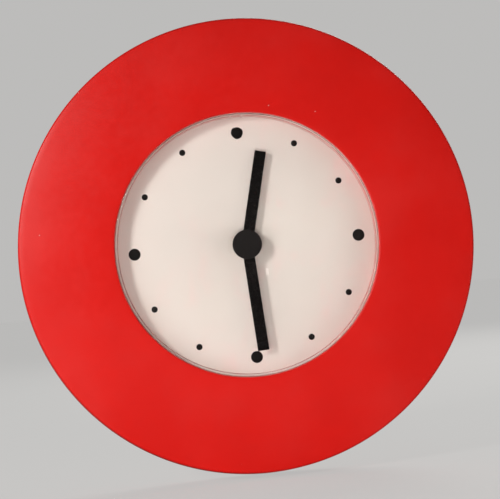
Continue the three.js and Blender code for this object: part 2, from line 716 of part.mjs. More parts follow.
const rotorMagnet = () =>
  place(piece('rotor_magnet', ring(STEP_ARBOR + GAP, 2.7, 9.3, 11.1, SMALL), magnet), rotorArbor);

// ---- Stepping motor ----

const COIL_X = -21.5;
const COIL_BOTTOM = -3.9;
const COIL_TOP = 18.9;
const COIL_HEIGHT = 11.3;
const CORE_BOTTOM = -8.2;
const CORE_TOP = 23;

// A flat C of transformer steel around the rotor, whose arms meet the coil's core.
function stator() {
  const rear = 9.8;
  const front = 10.6;
  const armEnd = COIL_X - 2.5;
  const barLeft = -16.2;
  const barRight = -8.6;
  let body = block(barLeft, barRight, CORE_BOTTOM, CORE_TOP, rear, front);
  body = body.add(block(armEnd, barRight, CORE_BOTTOM, COIL_BOTTOM - 0.4, rear, front));
  body = body.add(block(armEnd, barRight, COIL_TOP + 0.4, CORE_TOP, rear, front));
  body = body.subtract(at(rod(3.3, rear - 1, front + 1, SMALL), rotorArbor));
  return piece('stator', body, steel);
}

function coilBlock(halfWidth, halfDepth, bottom, top) {
  const [left, right] = [COIL_X - halfWidth, COIL_X + halfWidth];
  return block(left, right, bottom, top, COIL_HEIGHT - halfDepth, COIL_HEIGHT + halfDepth);
}

const coilCore = () => piece('coil_core', coilBlock(1.5, 0.4, CORE_BOTTOM, CORE_TOP), steel);

function coilBobbin() {
  const flange = 0.9;
  let body = coilBlock(2.6, 1.5, COIL_BOTTOM, COIL_TOP);
  body = body.add(coilBlock(4.3, 4.1, COIL_BOTTOM, COIL_BOTTOM + flange));
  body = body.add(coilBlock(4.3, 4.1, COIL_TOP - flange, COIL_TOP));
  body = body.subtract(coilBlock(1.8, 0.7, COIL_BOTTOM - 1, COIL_TOP + 1));
  return piece('coil_bobbin', body, naturalPlastic);
}

// The winding, a rounded oblong sleeve between the bobbin's flanges.
function coilWinding() {
  const bottom = COIL_BOTTOM + 1.2;
  const top = COIL_TOP - 1.2;
  const shape = roundedRectangle(-4, 4, -3.8, 3.8, 2);
  const options = { depth: top - bottom, bevelEnabled: false, curveSegments: 4 };
  const geometry = new THREE.ExtrudeGeometry(shape, options);
  const sleeve = solid(geometry.translate(COIL_X, -COIL_HEIGHT, bottom));
  return piece('coil_winding', sleeve.subtract(coilBlock(2.9, 1.8, bottom - 1, top + 1)), copper);
}

// ---- Electronics and battery ----

const BOARD_REAR = 6.4;
const BOARD_FRONT = 7.2;
const BOARD_X = 18.6;
const BOARD_Z = 16;
const BOARD_WIDTH = 13.2;
const BOARD_LENGTH = 18;

function circuitBoard() {
  const left = BOARD_X - BOARD_WIDTH / 2;
  const bottom = BOARD_Z - BOARD_LENGTH / 2;
  const body = block(left, left + BOARD_WIDTH, bottom, bottom + BOARD_LENGTH, BOARD_REAR, BOARD_FRONT);
  return piece('circuit_board', body, boardGreen);
}

function chipBlob() {
  const rear = BOARD_FRONT + GAP;
  const dome = new THREE.Path();
  dome.moveTo(3.4, rear);
  dome.quadraticCurveTo(2.8, rear + 1.3, 0, rear + 1.4);
  const outline = [[0, rear], ...dome.getPoints(4).map(({ x, y }) => [x, y])];
  return place(piece('timing_chip', turned(outline, SMALL), blackPlastic), { x: 17.5, z: 13 });
}

function quartzCrystal() {
  const canRadius = 1.5;
  const canLength = 8;
  const can = new THREE.CylinderGeometry(canRadius, canRadius, canLength, TINY);
  const mesh = piece('quartz_crystal', solid(can), steel);
  mesh.rotation.z = Math.PI / 2;
  mesh.position.set(18, -(BOARD_FRONT + GAP + canRadius), 20.5);
  return mesh;
}

// Spring-steel contacts at the two ends of the bay, with a tail towards the board.
function batteryContact(name, side, tailTop) {
  const near = 25.75;
  const far = 26.15;
  const [left, right] = side > 0 ? [near, far] : [-far, -near];
  let body = block(left, right, BATTERY_Z - 4, BATTERY_Z + 4, BATTERY_HEIGHT - 4, BATTERY_HEIGHT + 4);
  body = body.add(block(left, right, BATTERY_Z, tailTop, BATTERY_HEIGHT - 1.5, BATTERY_HEIGHT + 1.5));
  return piece(name, body, steel);
}

// A size AA cell, positive end to the right.
function battery() {
  const bodyEnd = 24.1;
  const bodyStart = -24.9;
  const nubEnd = 25.4;
  const chamfer = 0.6;
  const outline = [
    [0, bodyStart],
    [BATTERY_RADIUS - chamfer, bodyStart],
    [BATTERY_RADIUS, bodyStart + chamfer],
    [BATTERY_RADIUS, bodyEnd - chamfer],
    [BATTERY_RADIUS - chamfer, bodyEnd],
    [2.75, bodyEnd],
    [2.75, nubEnd],
    [0, nubEnd],
  ];
  const mesh = piece('aa_battery', turned(outline, 24), batteryWrap);
  mesh.rotation.z = Math.PI / 2;
  mesh.position.set(0, -BATTERY_HEIGHT, BATTERY_Z);
  return mesh;
}

// ---- Assembly ----

function assemble(name, pieces) {
  const group = new THREE.Group();
  group.name = name;
  group.add(...pieces);
  return group;
}

const caseGroup = assemble('case', [caseRing(), lens(), dial(), backPlate(), hangerPlate()]);
for (const [index, angle] of BOSS_ANGLES.entries()) {
  const centre = away(spindle, BOSS_CIRCLE, angle * DEG);
  caseGroup.add(screw(`back_plate_screw_${index + 1}`, PLATE_REAR - GAP, 11, centre));
}
for (const side of [-1, 1]) {
  const centre = { x: side * HANGER_SCREW_X, z: HANGER_Z };
  caseGroup.add(screw(`hanger_screw_${side < 0 ? 'left' : 'right'}`, HANGER_REAR - GAP, 12, centre));
}

const hands = assemble('hands', [
  hand('hour_hand', HOUR_HAND_LENGTH, HOUR_HAND_REAR, HOUR_PIPE + GAP, HOUR_HAND_ANGLE),
  hand('minute_hand', MINUTE_HAND_LENGTH, MINUTE_HAND_REAR, CANNON_PIPE + GAP, MINUTE_HAND_ANGLE),
  centreCap(),
]);

const movement = assemble('movement', [
  movementFrontHousing(),
  movementBackCover(),
  trainBridge(),
  gasket(),
  washer(),
  bushNut(),
  cannonPinion(),
  hourWheel(),
  minuteWheel(),
  settingKnob(),
  centreWheel(),
  thirdWheel(),
  secondWheel(),
  stepWheel(),
  rotorPinion(),
  rotorMagnet(),
  stator(),
  coilCore(),
  coilBobbin(),
  coilWinding(),
  circuitBoard(),
  chipBlob(),
  quartzCrystal(),
  batteryContact('battery_contact_positive', 1, 12),
  batteryContact('battery_contact_negative', -1, -9),
  battery(),
]);

export default assemble('wall_clock', [caseGroup, hands, movement]);
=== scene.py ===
import math

import bmesh
import bpy
from mathutils import Matrix, Vector


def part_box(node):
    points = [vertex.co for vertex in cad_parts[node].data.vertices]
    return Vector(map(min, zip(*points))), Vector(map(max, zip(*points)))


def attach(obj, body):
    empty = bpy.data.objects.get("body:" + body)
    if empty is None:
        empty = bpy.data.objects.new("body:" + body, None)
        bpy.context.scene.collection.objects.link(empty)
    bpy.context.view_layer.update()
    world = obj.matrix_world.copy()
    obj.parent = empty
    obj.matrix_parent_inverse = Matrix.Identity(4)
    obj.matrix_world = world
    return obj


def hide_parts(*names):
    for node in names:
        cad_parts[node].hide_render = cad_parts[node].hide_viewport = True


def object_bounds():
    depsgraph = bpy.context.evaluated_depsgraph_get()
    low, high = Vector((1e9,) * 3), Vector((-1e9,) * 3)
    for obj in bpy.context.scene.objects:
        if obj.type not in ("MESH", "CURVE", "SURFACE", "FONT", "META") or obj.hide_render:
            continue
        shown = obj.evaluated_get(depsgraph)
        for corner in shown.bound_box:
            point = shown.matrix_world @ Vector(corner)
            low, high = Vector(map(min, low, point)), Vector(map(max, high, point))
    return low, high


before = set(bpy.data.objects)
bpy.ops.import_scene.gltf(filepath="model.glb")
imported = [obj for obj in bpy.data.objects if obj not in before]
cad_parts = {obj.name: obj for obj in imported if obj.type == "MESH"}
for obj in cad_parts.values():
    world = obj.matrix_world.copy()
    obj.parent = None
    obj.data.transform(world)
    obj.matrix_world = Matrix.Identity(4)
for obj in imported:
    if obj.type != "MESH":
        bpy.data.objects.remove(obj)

cad_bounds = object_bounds()

# Lengths below are in millimetres. A height is measured off the wall towards the viewer, so a point
# at height h has y = -h, and x and z are the clock's right and up as the viewer sees them.
MM = 0.001
GAP = 0.3


# ---- The studio ----
# A pale floor and a pale room. A window at the upper left gives the main light and a small glint, three
# low lamps stand for what the room throws back, and one lights the back. The camera is a metre off.

CAMERA_DISTANCE = 1.0
CAMERA_AZIMUTH = math.radians(-2.15)
CAMERA_ELEVATION = math.radians(-1.95)
CAMERA_LEAN = math.radians(5.15)
CAMERA_AIM = Vector((0.0022, -0.020, -0.0036))
LENS_OVER_WIDTH = 2.644  # focal length over the width of the picture
LAMP_AIM = Vector((0, -0.025, 0))


def from_bearing(azimuth, elevation):
    """The direction from the clock towards a bearing: azimuth 0 is straight in front, + is right."""
    flat = math.cos(elevation)
    return Vector((math.sin(azimuth) * flat, -math.cos(azimuth) * flat, math.sin(elevation)))


def standing_at(target, position, lean=0.0):
    """A matrix at a position that looks at a target along -Z, leaning clockwise."""
    look = (target - position).normalized()
    right = look.cross(Vector((0, 0, 1))).normalized()
    up = right.cross(look)
    leaning_right = right * math.cos(lean) - up * math.sin(lean)
    leaning_up = right * math.sin(lean) + up * math.cos(lean)
    turn = Matrix((leaning_right, leaning_up, -look)).transposed()
    return Matrix.Translation(position) @ turn.to_4x4()


def linked(item):
    bpy.context.scene.collection.objects.link(item)
    return item


camera = linked(bpy.data.objects.new("camera", bpy.data.cameras.new("camera")))
camera_place = CAMERA_AIM + CAMERA_DISTANCE * from_bearing(CAMERA_AZIMUTH, CAMERA_ELEVATION)
camera.matrix_world = standing_at(CAMERA_AIM, camera_place, CAMERA_LEAN)
camera.data.sensor_fit = "HORIZONTAL"
camera.data.lens = LENS_OVER_WIDTH * camera.data.sensor_width
camera.data.clip_start = 0.01
bpy.context.scene.camera = camera
bpy.context.scene.view_settings.view_transform = "Standard"


def soft_light(name, bearing, distance, size, watts, tone):
    """A rectangular lamp that faces the clock from a bearing: its azimuth and elevation in degrees."""
    lamp = bpy.data.lights.new(name, "AREA")
    lamp.shape = "RECTANGLE"
    lamp.size, lamp.size_y = size
    lamp.energy = watts
    lamp.color = tone
    azimuth, elevation = map(math.radians, bearing)
    light = linked(bpy.data.objects.new(name, lamp))
    light.matrix_world = standing_at(LAMP_AIM, LAMP_AIM + distance * from_bearing(azimuth, elevation))
    return light


soft_light("window_light", bearing=(-46, 18), distance=1.5, size=(0.24, 0.34), watts=11.0,
           tone=(1.0, 0.98, 0.96))
soft_light("window_glint", bearing=(4.9, -2.6), distance=1.22, size=(0.009, 0.025), watts=0.0016,
           tone=(1.0, 0.97, 0.95))
bounces = (
    soft_light("left_bounce", bearing=(-58, -9), distance=0.75, size=(0.4, 0.15), watts=1.4,
               tone=(1.0, 0.95, 1.0)),
    soft_light("right_bounce", bearing=(62, -11), distance=0.78, size=(0.35, 0.15), watts=1.4,
               tone=(1.0, 0.94, 0.91)),
    soft_light("low_bounce", bearing=(-4, -16), distance=0.58, size=(0.34, 0.06), watts=1.9,
               tone=(1.0, 0.96, 0.94)),
)
for bounce in bounces:
    bounce.visible_glossy = False  # light thrown back by the room has no outline in the lens
    bounce.visible_transmission = False
soft_light("rear_fill", bearing=(150, 35), distance=2.2, size=(1.6, 1.2), watts=26,
           tone=(1.0, 0.98, 0.95))

FLOOR_SEEN = (0.60, 0.595, 0.585, 1)
FLOOR_GLOW = 0.8  # share of the floor's looks that no lamp changes
ROOM_SEEN = (0.508, 0.503, 0.495, 1)  # close to the far floor, so that hardly a horizon shows
ROOM_IN_GLOSS = (0.05, 0.048, 0.047, 1)
ROOM_LIGHT = (1.0, 0.96, 0.93, 1)


class Nodes:
    """A node tree under construction, with short ways to place its nodes and to join them."""

    def __init__(self, tree):
        self.tree = tree

    def add(self, kind, **values):
        return self.filled(self.tree.nodes.new("ShaderNode" + kind), values)

    def filled(self, node, values):
        """Gives each value to the node's input of that name, or else to its setting."""
        for name, value in values.items():
            socket = name.replace("_", " ")
            if socket in node.inputs:
                node.inputs[socket].default_value = value
            else:
                setattr(node, name, value)
        return node

    def join(self, source, target):
        self.tree.links.new(source, target)

    def put(self, term, target):
        """Feeds an input with a constant, or with another node's output."""
        if isinstance(term, (int, float, tuple)):
            target.default_value = term
        else:
            self.join(term, target)

    def maths(self, operation, *terms):
        node = self.add("Math", operation=operation)
        for term, target in zip(terms, node.inputs):
            self.put(term, target)
        return node.outputs["Value"]

    def mixed(self, share, first, second):
        """The first shader, turning to the second where the share is 1."""
        mix = self.add("MixShader")
        for source, target in zip((share, first, second), mix.inputs):
            self.join(source, target)
        return mix.outputs["Shader"]


def pale_room():
    """A room that lights softly from all round, shows pale, and is dim in the gloss of the object."""
    room = bpy.data.worlds.new("room")
    room.use_nodes = True
    build = Nodes(room.node_tree)
    lit = build.filled(build.tree.nodes["Background"], {"Color": ROOM_LIGHT, "Strength": 0.10})
    shader = lit.outputs["Background"]
    backgrounds = [("Is Glossy Ray", build.add("Background", Color=ROOM_IN_GLOSS)),
                   ("Is Camera Ray", build.add("Background", Color=ROOM_SEEN))]
    rays = build.add("LightPath").outputs
    for ray, background in backgrounds:
        shader = build.mixed(rays[ray], shader, background.outputs["Background"])
    build.join(shader, build.tree.nodes["World Output"].inputs["Surface"])
    return room


bpy.context.scene.world = pale_room()


def colour(code):
    """The linear colour of a screen colour written as 0xRRGGBB."""
    channels = [((code >> shift) & 255) / 255 for shift in (16, 8, 0)]
    return (*[c / 12.92 if c <= 0.04045 else ((c + 0.055) / 1.055) ** 2.4 for c in channels], 1)


class Finish(Nodes):
    """A material under construction: one Principled shader and the nodes that feed it."""

    def __init__(self, name, **constants):
        self.material = bpy.data.materials.new(name)
        self.material.use_nodes = True
        super().__init__(self.material.node_tree)
        self.shader = self.filled(self.tree.nodes["Principled BSDF"], constants)

    def effect(self, group, **values):
        """Places a shared effect with this material's own values, and returns its outputs."""
        return self.filled(self.add("Group", node_tree=group), values).outputs

    def feed(self, source, socket):
        self.join(source, self.shader.inputs[socket])

    def show(self, share, other):
        """Shows another shader in place of the Principled one, by a share."""
        mix = self.mixed(share, self.shader.outputs["BSDF"], other)
        self.join(mix, self.tree.nodes["Material Output"].inputs["Surface"])

    def blend(self, mask, first, second):
        """The first colour, turning to the second where the mask is 1."""
        mix = self.add("Mix", data_type="RGBA")
        self.join(mask, mix.inputs[0])
        colours = [socket for socket in mix.inputs if socket.type == "RGBA"]
        for socket, part in zip(colours, (first, second)):
            self.put(part, socket)
        return next(socket for socket in mix.outputs if socket.type == "RGBA")

    def gloss(self, base, *parts):
        """Feeds the roughness: a base value plus masks, each with its own weight."""
        total = base
        for mask, weight in parts:
            total = self.maths("MULTIPLY_ADD", mask, weight, total)
        self.feed(total, "Roughness")

    def relief(self, height, strength, depth):
        """Lets a height that changes over the surface tilt its normal, over a depth in metres."""
        bump = self.add("Bump", Strength=strength, Distance=depth)
        self.join(height, bump.inputs["Height"])
        self.feed(bump.outputs["Normal"], "Normal")


class Effect(Nodes):
    """A group that several materials use, with named inputs and outputs."""

    def __init__(self, name, inputs, outputs):
        super().__init__(bpy.data.node_groups.new(name, "ShaderNodeTree"))
        for label, default in inputs.items():
            kind = "NodeSocketColor" if isinstance(default, tuple) else "NodeSocketFloat"
            socket = self.tree.interface.new_socket(label, in_out="INPUT", socket_type=kind)
            socket.default_value = default
        for label, kind in outputs.items():
            self.tree.interface.new_socket(label, in_out="OUTPUT", socket_type=kind)
        self.given = self.tree.nodes.new("NodeGroupInput").outputs
        self.result = self.tree.nodes.new("NodeGroupOutput").inputs
        self.place = self.add("TexCoord").outputs["Object"]

    def noise(self, scale, place=None, **values):
        """Noise over the piece's own coordinates: the scale is in lumps per metre."""
        node = self.add("TexNoise", **values)
        self.join(self.place if place is None else place, node.inputs["Vector"])
        self.put(scale, node.inputs["Scale"])
        return node.outputs["Fac"]

    def stretched(self, scale, turn=0.0):
        """The piece's own coordinates, scaled and turned about the viewing direction."""
        node = self.add("Mapping", Scale=scale, Rotation=(0, math.radians(turn), 0))
        self.join(self.place, node.inputs["Vector"])
        return node.outputs["Vector"]

    def spread(self, source, low, high, start=0.0, end=1.0):
        """Maps low..high to start..end, smoothly and clamped."""
        node = self.add("MapRange", interpolation_type="SMOOTHSTEP", From_Min=low, From_Max=high,
                        To_Min=start, To_Max=end)
        self.join(source, node.inputs["Value"])
        return node.outputs["Result"]

    def give(self, **results):
        for label, source in results.items():
            self.join(source, self.result[label])
        return self.tree


def tone_drift_group():
    """Slow changes of lightness, as in any moulded, printed or plated surface."""
    group = Effect("tone_drift",
                   {"Colour": (0.8, 0.8, 0.8, 1), "Patches per metre": 20.0, "Amount": 0.05},
                   {"Colour": "NodeSocketColor"})
    patches = group.noise(group.given["Patches per metre"], Detail=4.0, Roughness=0.55)
    swing = group.spread(patches, 0.3, 0.7, -1.0, 1.0)
    shift = group.maths("MULTIPLY", swing, group.given["Amount"])
    tint = group.add("HueSaturation")
    group.join(group.given["Colour"], tint.inputs["Color"])
    group.join(group.maths("ADD", shift, 1.0), tint.inputs["Value"])
    return group.give(Colour=tint.outputs["Color"])


tone_drift = tone_drift_group()


def floor_finish():
    finish = Finish("pale_floor", Roughness=0.65)
    drift = finish.effect(tone_drift, Colour=(0.80, 0.80, 0.79, 1), Patches_per_metre=3.0, Amount=0.015)
    finish.feed(drift["Colour"], "Base Color")
    glow = finish.add("Emission", Color=FLOOR_SEEN)
    seen = finish.add("LightPath").outputs["Is Camera Ray"]
    finish.show(finish.maths("MULTIPLY", seen, FLOOR_GLOW), glow.outputs["Emission"])
    return finish.material


def studio_floor():
    half, level = 30.0, cad_bounds[0][2]
    corners = [(-half, -half, level), (half, -half, level), (half, half, level), (-half, half, level)]
    mesh = bpy.data.meshes.new("floor")
    mesh.from_pydata(corners, [], [(0, 1, 2, 3)])
    mesh.materials.append(floor_finish())
    floor = linked(bpy.data.objects.new("floor", mesh))
    floor.visible_glossy = False  # its far edge would draw a line across the lens
    floor.visible_transmission = False
    return floor


def keep_off(floor, lights):
    """Keeps low lights from burning bright patches into the floor beside them."""
    spared = bpy.data.collections.new("spared_by_bounces")
    spared.objects.link(floor)
    spared.collection_objects[0].light_linking.link_state = "EXCLUDE"
    for light in lights:
        light.light_linking.receiver_collection = spared


plain_floor = studio_floor()
keep_off(plain_floor, bounces)


# ---- Case ring ----
# One big injection moulding in glossy red plastic, 2.4 mm thick: a draughted side, a rounded
# shoulder, a shallow crowned face and an opening wall, with ribs and screw bosses on its open back.

RIM_RADIUS = 175.0
SHOULDER_RADIUS = 170.5
OPENING_RADIUS = 98.7
SKIN = 2.4
CROWN_RADIUS = 400.0
CREST_RADIUS = 104.0
CREST_HEIGHT = 37.47
PLATE_FRONT = 23.4
BOSS_REAR = PLATE_FRONT + GAP
BOSS_CIRCLE = OPENING_RADIUS + 5.5
BOSS_ANGLES = (45, 135, 225, 315)
ROUND = 288  # facets of a big round


def face_height(radius):
    return CREST_HEIGHT - CROWN_RADIUS + math.sqrt(CROWN_RADIUS ** 2 - (radius - CREST_RADIUS) ** 2)


def softened(corners, steps=5):
    """A closed outline of (across, up, radius) corners, with each corner rounded to its radius."""
    outline = []
    for index, (across, up, radius) in enumerate(corners):
        here = Vector((across, up))
        if radius == 0:
            outline.append(here)
            continue
        before = (Vector(corners[index - 1][:2]) - here).normalized()
        after = (Vector(corners[(index + 1) % len(corners)][:2]) - here).normalized()
        half = before.angle(after) / 2
        centre = here + (before + after).normalized() * (radius / math.sin(half))
        start = here + before * (radius / math.tan(half)) - centre
        end = here + after * (radius / math.tan(half)) - centre
        turn = math.atan2(start.x * end.y - start.y * end.x, start.dot(end))
        for step in range(steps + 1):
            angle = turn * step / steps
            across_arc = start.x * math.cos(angle) - start.y * math.sin(angle)
            up_arc = start.x * math.sin(angle) + start.y * math.cos(angle)
            outline.append(centre + Vector((across_arc, up_arc)))
    return outline


SMOOTH_BELOW = math.radians(32)  # faces that meet at less than this shade as one round


def smoothed(mesh):
    mesh.shade_smooth()
    mesh.set_sharp_from_angle(angle=SMOOTH_BELOW)


def finished(name, form):
    """An object from a bmesh in millimetres, with its faces turned outwards and its rounds smooth."""
    bmesh.ops.remove_doubles(form, verts=form.verts, dist=1e-4)
    bmesh.ops.recalc_face_normals(form, faces=form.faces)
    bmesh.ops.scale(form, vec=(MM, MM, MM), verts=form.verts)
    mesh = bpy.data.meshes.new(name)
    form.to_mesh(mesh)
    form.free()
    smoothed(mesh)
    return linked(bpy.data.objects.new(name, mesh))


def banded(form, near, far):
    """Closes the side between two loops of points with one band of faces."""
    for index in range(len(near)):
        following = (index + 1) % len(near)
        form.faces.new((near[index], near[following], far[following], far[index]))


def turned(name, outline, segments=ROUND):
    """A solid of revolution about the spindle, from a closed outline of (radius, height) points."""
    form = bmesh.new()
    columns = []
    for segment in range(segments):
        angle = 2 * math.pi * segment / segments
        columns.append([
            form.verts.new((radius * math.sin(angle), -height, radius * math.cos(angle)))
            for radius, height in outline
        ])
    for near, far in zip(columns, columns[1:] + columns[:1]):
        for row in range(len(outline)):
            following = (row + 1) % len(outline)
            if outline[row][0] or outline[following][0]:
                form.faces.new((near[row], far[row], far[following], near[following]))
    return finished(name, form)


def slab(name, outline, rear, front, edge=0.0):
    """A plate of a closed outline of (x, z) points between two heights, with its rims eased."""
    form = bmesh.new()
    levels = [(front, 0.0), (rear, 0.0)]
    if edge:
        levels = [(front, edge), (front - edge, 0.0), (rear + edge, 0.0), (rear, edge)]
    rings = [
        [form.verts.new((x, -height, z)) for x, z in inset(outline, inward)]
        for height, inward in levels
    ]
    for upper, lower in zip(rings, rings[1:]):
        banded(form, upper, lower)
    form.faces.new(rings[0])
    form.faces.new(rings[-1])
    return finished(name, form)


SHARPEST = 0.3  # keeps the corners of a pointed outline from running away


def inset(outline, inward):
    """A closed outline moved in by a distance, along the bisectors of its corners."""
    if inward == 0:
        return list(outline)
    points = [Vector(point) for point in outline]
    area = sum(a.x * b.y - a.y * b.x for a, b in zip(points, points[1:] + points[:1]))
    side = 1 if area > 0 else -1
    moved = []
    for index, here in enumerate(points):
        incoming = (here - points[index - 1]).normalized()
        outgoing = (points[(index + 1) % len(points)] - here).normalized()
        inward_in = Vector((-incoming.y, incoming.x)) * side
        inward_out = Vector((-outgoing.y, outgoing.x)) * side
        bisector = (inward_in + inward_out).normalized()
        moved.append(here + bisector * (inward / max(bisector.dot(inward_in), SHARPEST)))
    return moved


def round_bar(name, radius, rear, front, centre=(0, 0), edge=0.0, segments=32):
    """A round bar along the viewing direction, at a centre (x, z)."""
    corners = [(0, rear, 0), (radius, rear, edge), (radius, front, edge), (0, front, 0)]
    return moved_to(turned(name, softened(corners, 3), segments), centre)


def moved_to(piece, centre):
    piece.data.transform(Matrix.Translation((centre[0] * MM, 0, centre[1] * MM)))
    return piece


def turned_by(piece, degrees):
    """Turns a piece clockwise about the spindle, as the viewer sees it."""
    piece.data.transform(Matrix.Rotation(math.radians(degrees), 4, "Y"))
    return piece


def around(degrees, radius):
    """The (x, z) of a point at a bearing clockwise from 12 o'clock."""
    angle = math.radians(degrees)
    return radius * math.sin(angle), radius * math.cos(angle)


def gathered(name, pieces):
    """One object that holds the meshes of several, which are used up."""
    form = bmesh.new()
    for piece in pieces:
        form.from_mesh(piece.data)
        bpy.data.objects.remove(piece)
    mesh = bpy.data.meshes.new(name)
    form.to_mesh(mesh)
    form.free()
    return linked(bpy.data.objects.new(name, mesh))


def shaped(body, operation, tools):
    """Changes a body's shape with other pieces, which are used up."""
    tool = gathered("tool", tools)
    step = body.modifiers.new("shaping", "BOOLEAN")
    step.operation = operation
    step.solver = "EXACT"
    step.object = tool
    graph = bpy.context.evaluated_depsgraph_get()
    mesh = bpy.data.meshes.new_from_object(body.evaluated_get(graph))
    body.modifiers.clear()
    body.data = mesh
    smoothed(mesh)
    bpy.data.objects.remove(tool)
    return body


def joined(body, *tools):
    return shaped(body, "UNION", tools)


def cut(body, *tools):
    return shaped(body, "DIFFERENCE", tools)


def case_outline():
    """The section of the ring, outside and then inside."""
    foot, shoulder, lip, end, fillet = 0.5, 2.4, 0.9, 0.3, 0.6
    shoulder_height = face_height(SHOULDER_RADIUS)
    corners = [
        (RIM_RADIUS, 0, foot),
        ((RIM_RADIUS + SHOULDER_RADIUS) / 2, shoulder_height / 2, 0),
        (SHOULDER_RADIUS, shoulder_height, shoulder),
    ]
    face_start, face_end, steps = SHOULDER_RADIUS - 5, OPENING_RADIUS + 3, 16
    for step in range(steps + 1):
        radius = face_start + (face_end - face_start) * step / steps
        corners.append((radius, face_height(radius), 0))
    under = [OPENING_RADIUS + SKIN, (OPENING_RADIUS + SHOULDER_RADIUS) / 2, SHOULDER_RADIUS - SKIN]
    corners += [
        (OPENING_RADIUS, face_height(OPENING_RADIUS), lip),
        (OPENING_RADIUS, BOSS_REAR, end),
        (OPENING_RADIUS + SKIN, BOSS_REAR, end),
        *[(radius, face_height(radius) - SKIN, fillet) for radius in under],
        (RIM_RADIUS - SKIN, 0, foot),
    ]
    return softened(corners)


def case_rib():
    """A blade under the face, from the opening wall to the side, at 12 o'clock."""
    half = 0.9
    inside, outside = OPENING_RADIUS + SKIN / 2, RIM_RADIUS - SKIN * 2.4
    outline = [(inside, BOSS_REAR), (outside, BOSS_REAR)]
    for radius in (SHOULDER_RADIUS - SKIN, (inside + outside) / 2, inside):
        outline.append((radius, face_height(radius) - SKIN / 2))
    form = bmesh.new()
    sides = [
        [form.verts.new((x, -height, radius)) for radius, height in outline]
        for x in (-half, half)
    ]
    banded(form, *sides)
    for side in sides:
        form.faces.new(side)
    return finished("rib", form)


def moulded_grain_group():
    """The fine skin of a moulding: the height of its grain, and a mask that varies its gloss."""
    group = Effect("moulded_grain", {"Grains per metre": 2500.0},
                   {"Height": "NodeSocketFloat", "Mask": "NodeSocketFloat"})
    grains = group.given["Grains per metre"]
    fine = group.noise(grains, Detail=3.0, Roughness=0.6)
    coarse = group.noise(group.maths("MULTIPLY", grains, 0.12), Detail=2.0)
    height = group.maths("MULTIPLY_ADD", coarse, 0.5, fine)
    return group.give(Height=height, Mask=group.spread(coarse, 0.35, 0.65))


def handling_marks_group():
    """Wiped finger marks and faint smears: a mask, strongest where a hand would touch."""
    group = Effect("handling_marks", {"Marks per metre": 18.0, "Cover": 0.5},
                   {"Mask": "NodeSocketFloat"})
    marks = group.given["Marks per metre"]
    smear = group.noise(marks, Detail=5.0, Roughness=0.62, Distortion=1.2)
    wiped = group.stretched((1.0, 1.0, 0.22), turn=35)
    wipe = group.noise(group.maths("MULTIPLY", marks, 9.0), wiped, Detail=6.0, Roughness=0.7)
    lines = group.spread(wipe, 0.40, 0.66, 0.25, 1.0)
    marked = group.maths("MULTIPLY", group.spread(smear, 0.48, 0.66), lines)
    return group.give(Mask=group.maths("MULTIPLY", marked, group.given["Cover"]))


def settled_dust_group():
    """Scattered specks of dust and a thin film of it: a mask that lightens the colour."""
    group = Effect("settled_dust", {"Specks per metre": 300.0, "Speck cover": 0.05, "Film": 0.02},
                   {"Mask": "NodeSocketFloat"})
    speck_radius, speck_strength = 0.16, 0.45
    cells = group.add("TexVoronoi", feature="F1")
    group.join(group.place, cells.inputs["Vector"])
    group.join(group.given["Specks per metre"], cells.inputs["Scale"])
    chosen = group.add("SeparateColor")
    group.join(cells.outputs["Color"], chosen.inputs["Color"])
    size = group.maths("MULTIPLY", chosen.outputs["Green"], speck_radius)
    speck = group.maths("LESS_THAN", cells.outputs["Distance"], size)
    rare = group.maths("LESS_THAN", chosen.outputs["Red"], group.given["Speck cover"])
    specks = group.maths("MULTIPLY", group.maths("MULTIPLY", speck, rare), speck_strength)
    cloud = group.spread(group.noise(14.0, Detail=4.0), 0.4, 0.7)
    haze = group.maths("MULTIPLY", cloud, group.given["Film"])
    return group.give(Mask=group.maths("ADD", specks, haze))


def worn_edges_group():
    """Where an edge has been rubbed: a mask from how fast the surface turns there."""
    group = Effect("worn_edges", {"Width": 0.0006, "Amount": 0.5}, {"Mask": "NodeSocketFloat"})
    eased = group.add("Bevel", samples=6)
    group.join(group.given["Width"], eased.inputs["Radius"])
    likeness = group.add("VectorMath", operation="DOT_PRODUCT")
    group.join(eased.outputs["Normal"], likeness.inputs[0])
    group.join(group.add("NewGeometry").outputs["Normal"], likeness.inputs[1])
    turn = group.maths("SUBTRACT", 1.0, likeness.outputs["Value"])
    broken = group.spread(group.noise(260.0, Detail=5.0), 0.3, 0.65, 0.25, 1.0)
    rubbed = group.maths("MULTIPLY", group.spread(turn, 0.02, 0.2), broken)
    return group.give(Mask=group.maths("MULTIPLY", rubbed, group.given["Amount"]))


moulded_grain = moulded_grain_group()
handling_marks = handling_marks_group()
settled_dust = settled_dust_group()
worn_edges = worn_edges_group()
DUST = (0.62, 0.58, 0.52, 1)


def plastic(name, tone, roughness, grain=2500.0, grain_depth=0.00001, drift=0.03, marks=0.3,
            specks=0.03, film=0.03, worn=None, wear=0.4, edge=0.0006, dust=DUST, **constants):
    """A moulded plastic: drifting tone, rubbed edges, dust, wiped marks and the grain of its mould."""
    finish = Finish(name, IOR=1.49, **constants)
    drifting = finish.effect(tone_drift, Colour=tone, Patches_per_metre=16.0, Amount=drift)
    edges = finish.effect(worn_edges, Width=edge, Amount=wear)
    rubbed = finish.blend(edges["Mask"], drifting["Colour"], worn or tone)
    dirt = finish.effect(settled_dust, Specks_per_metre=320.0, Speck_cover=specks, Film=film)
    finish.feed(finish.blend(dirt["Mask"], rubbed, dust), "Base Color")
    skin = finish.effect(moulded_grain, Grains_per_metre=grain)
    smears = finish.effect(handling_marks, Cover=marks)
    finish.gloss(roughness, (skin["Mask"], 0.05), (smears["Mask"], 0.18), (dirt["Mask"], 0.4))
    finish.relief(skin["Height"], 0.6, grain_depth)
    return finish.material


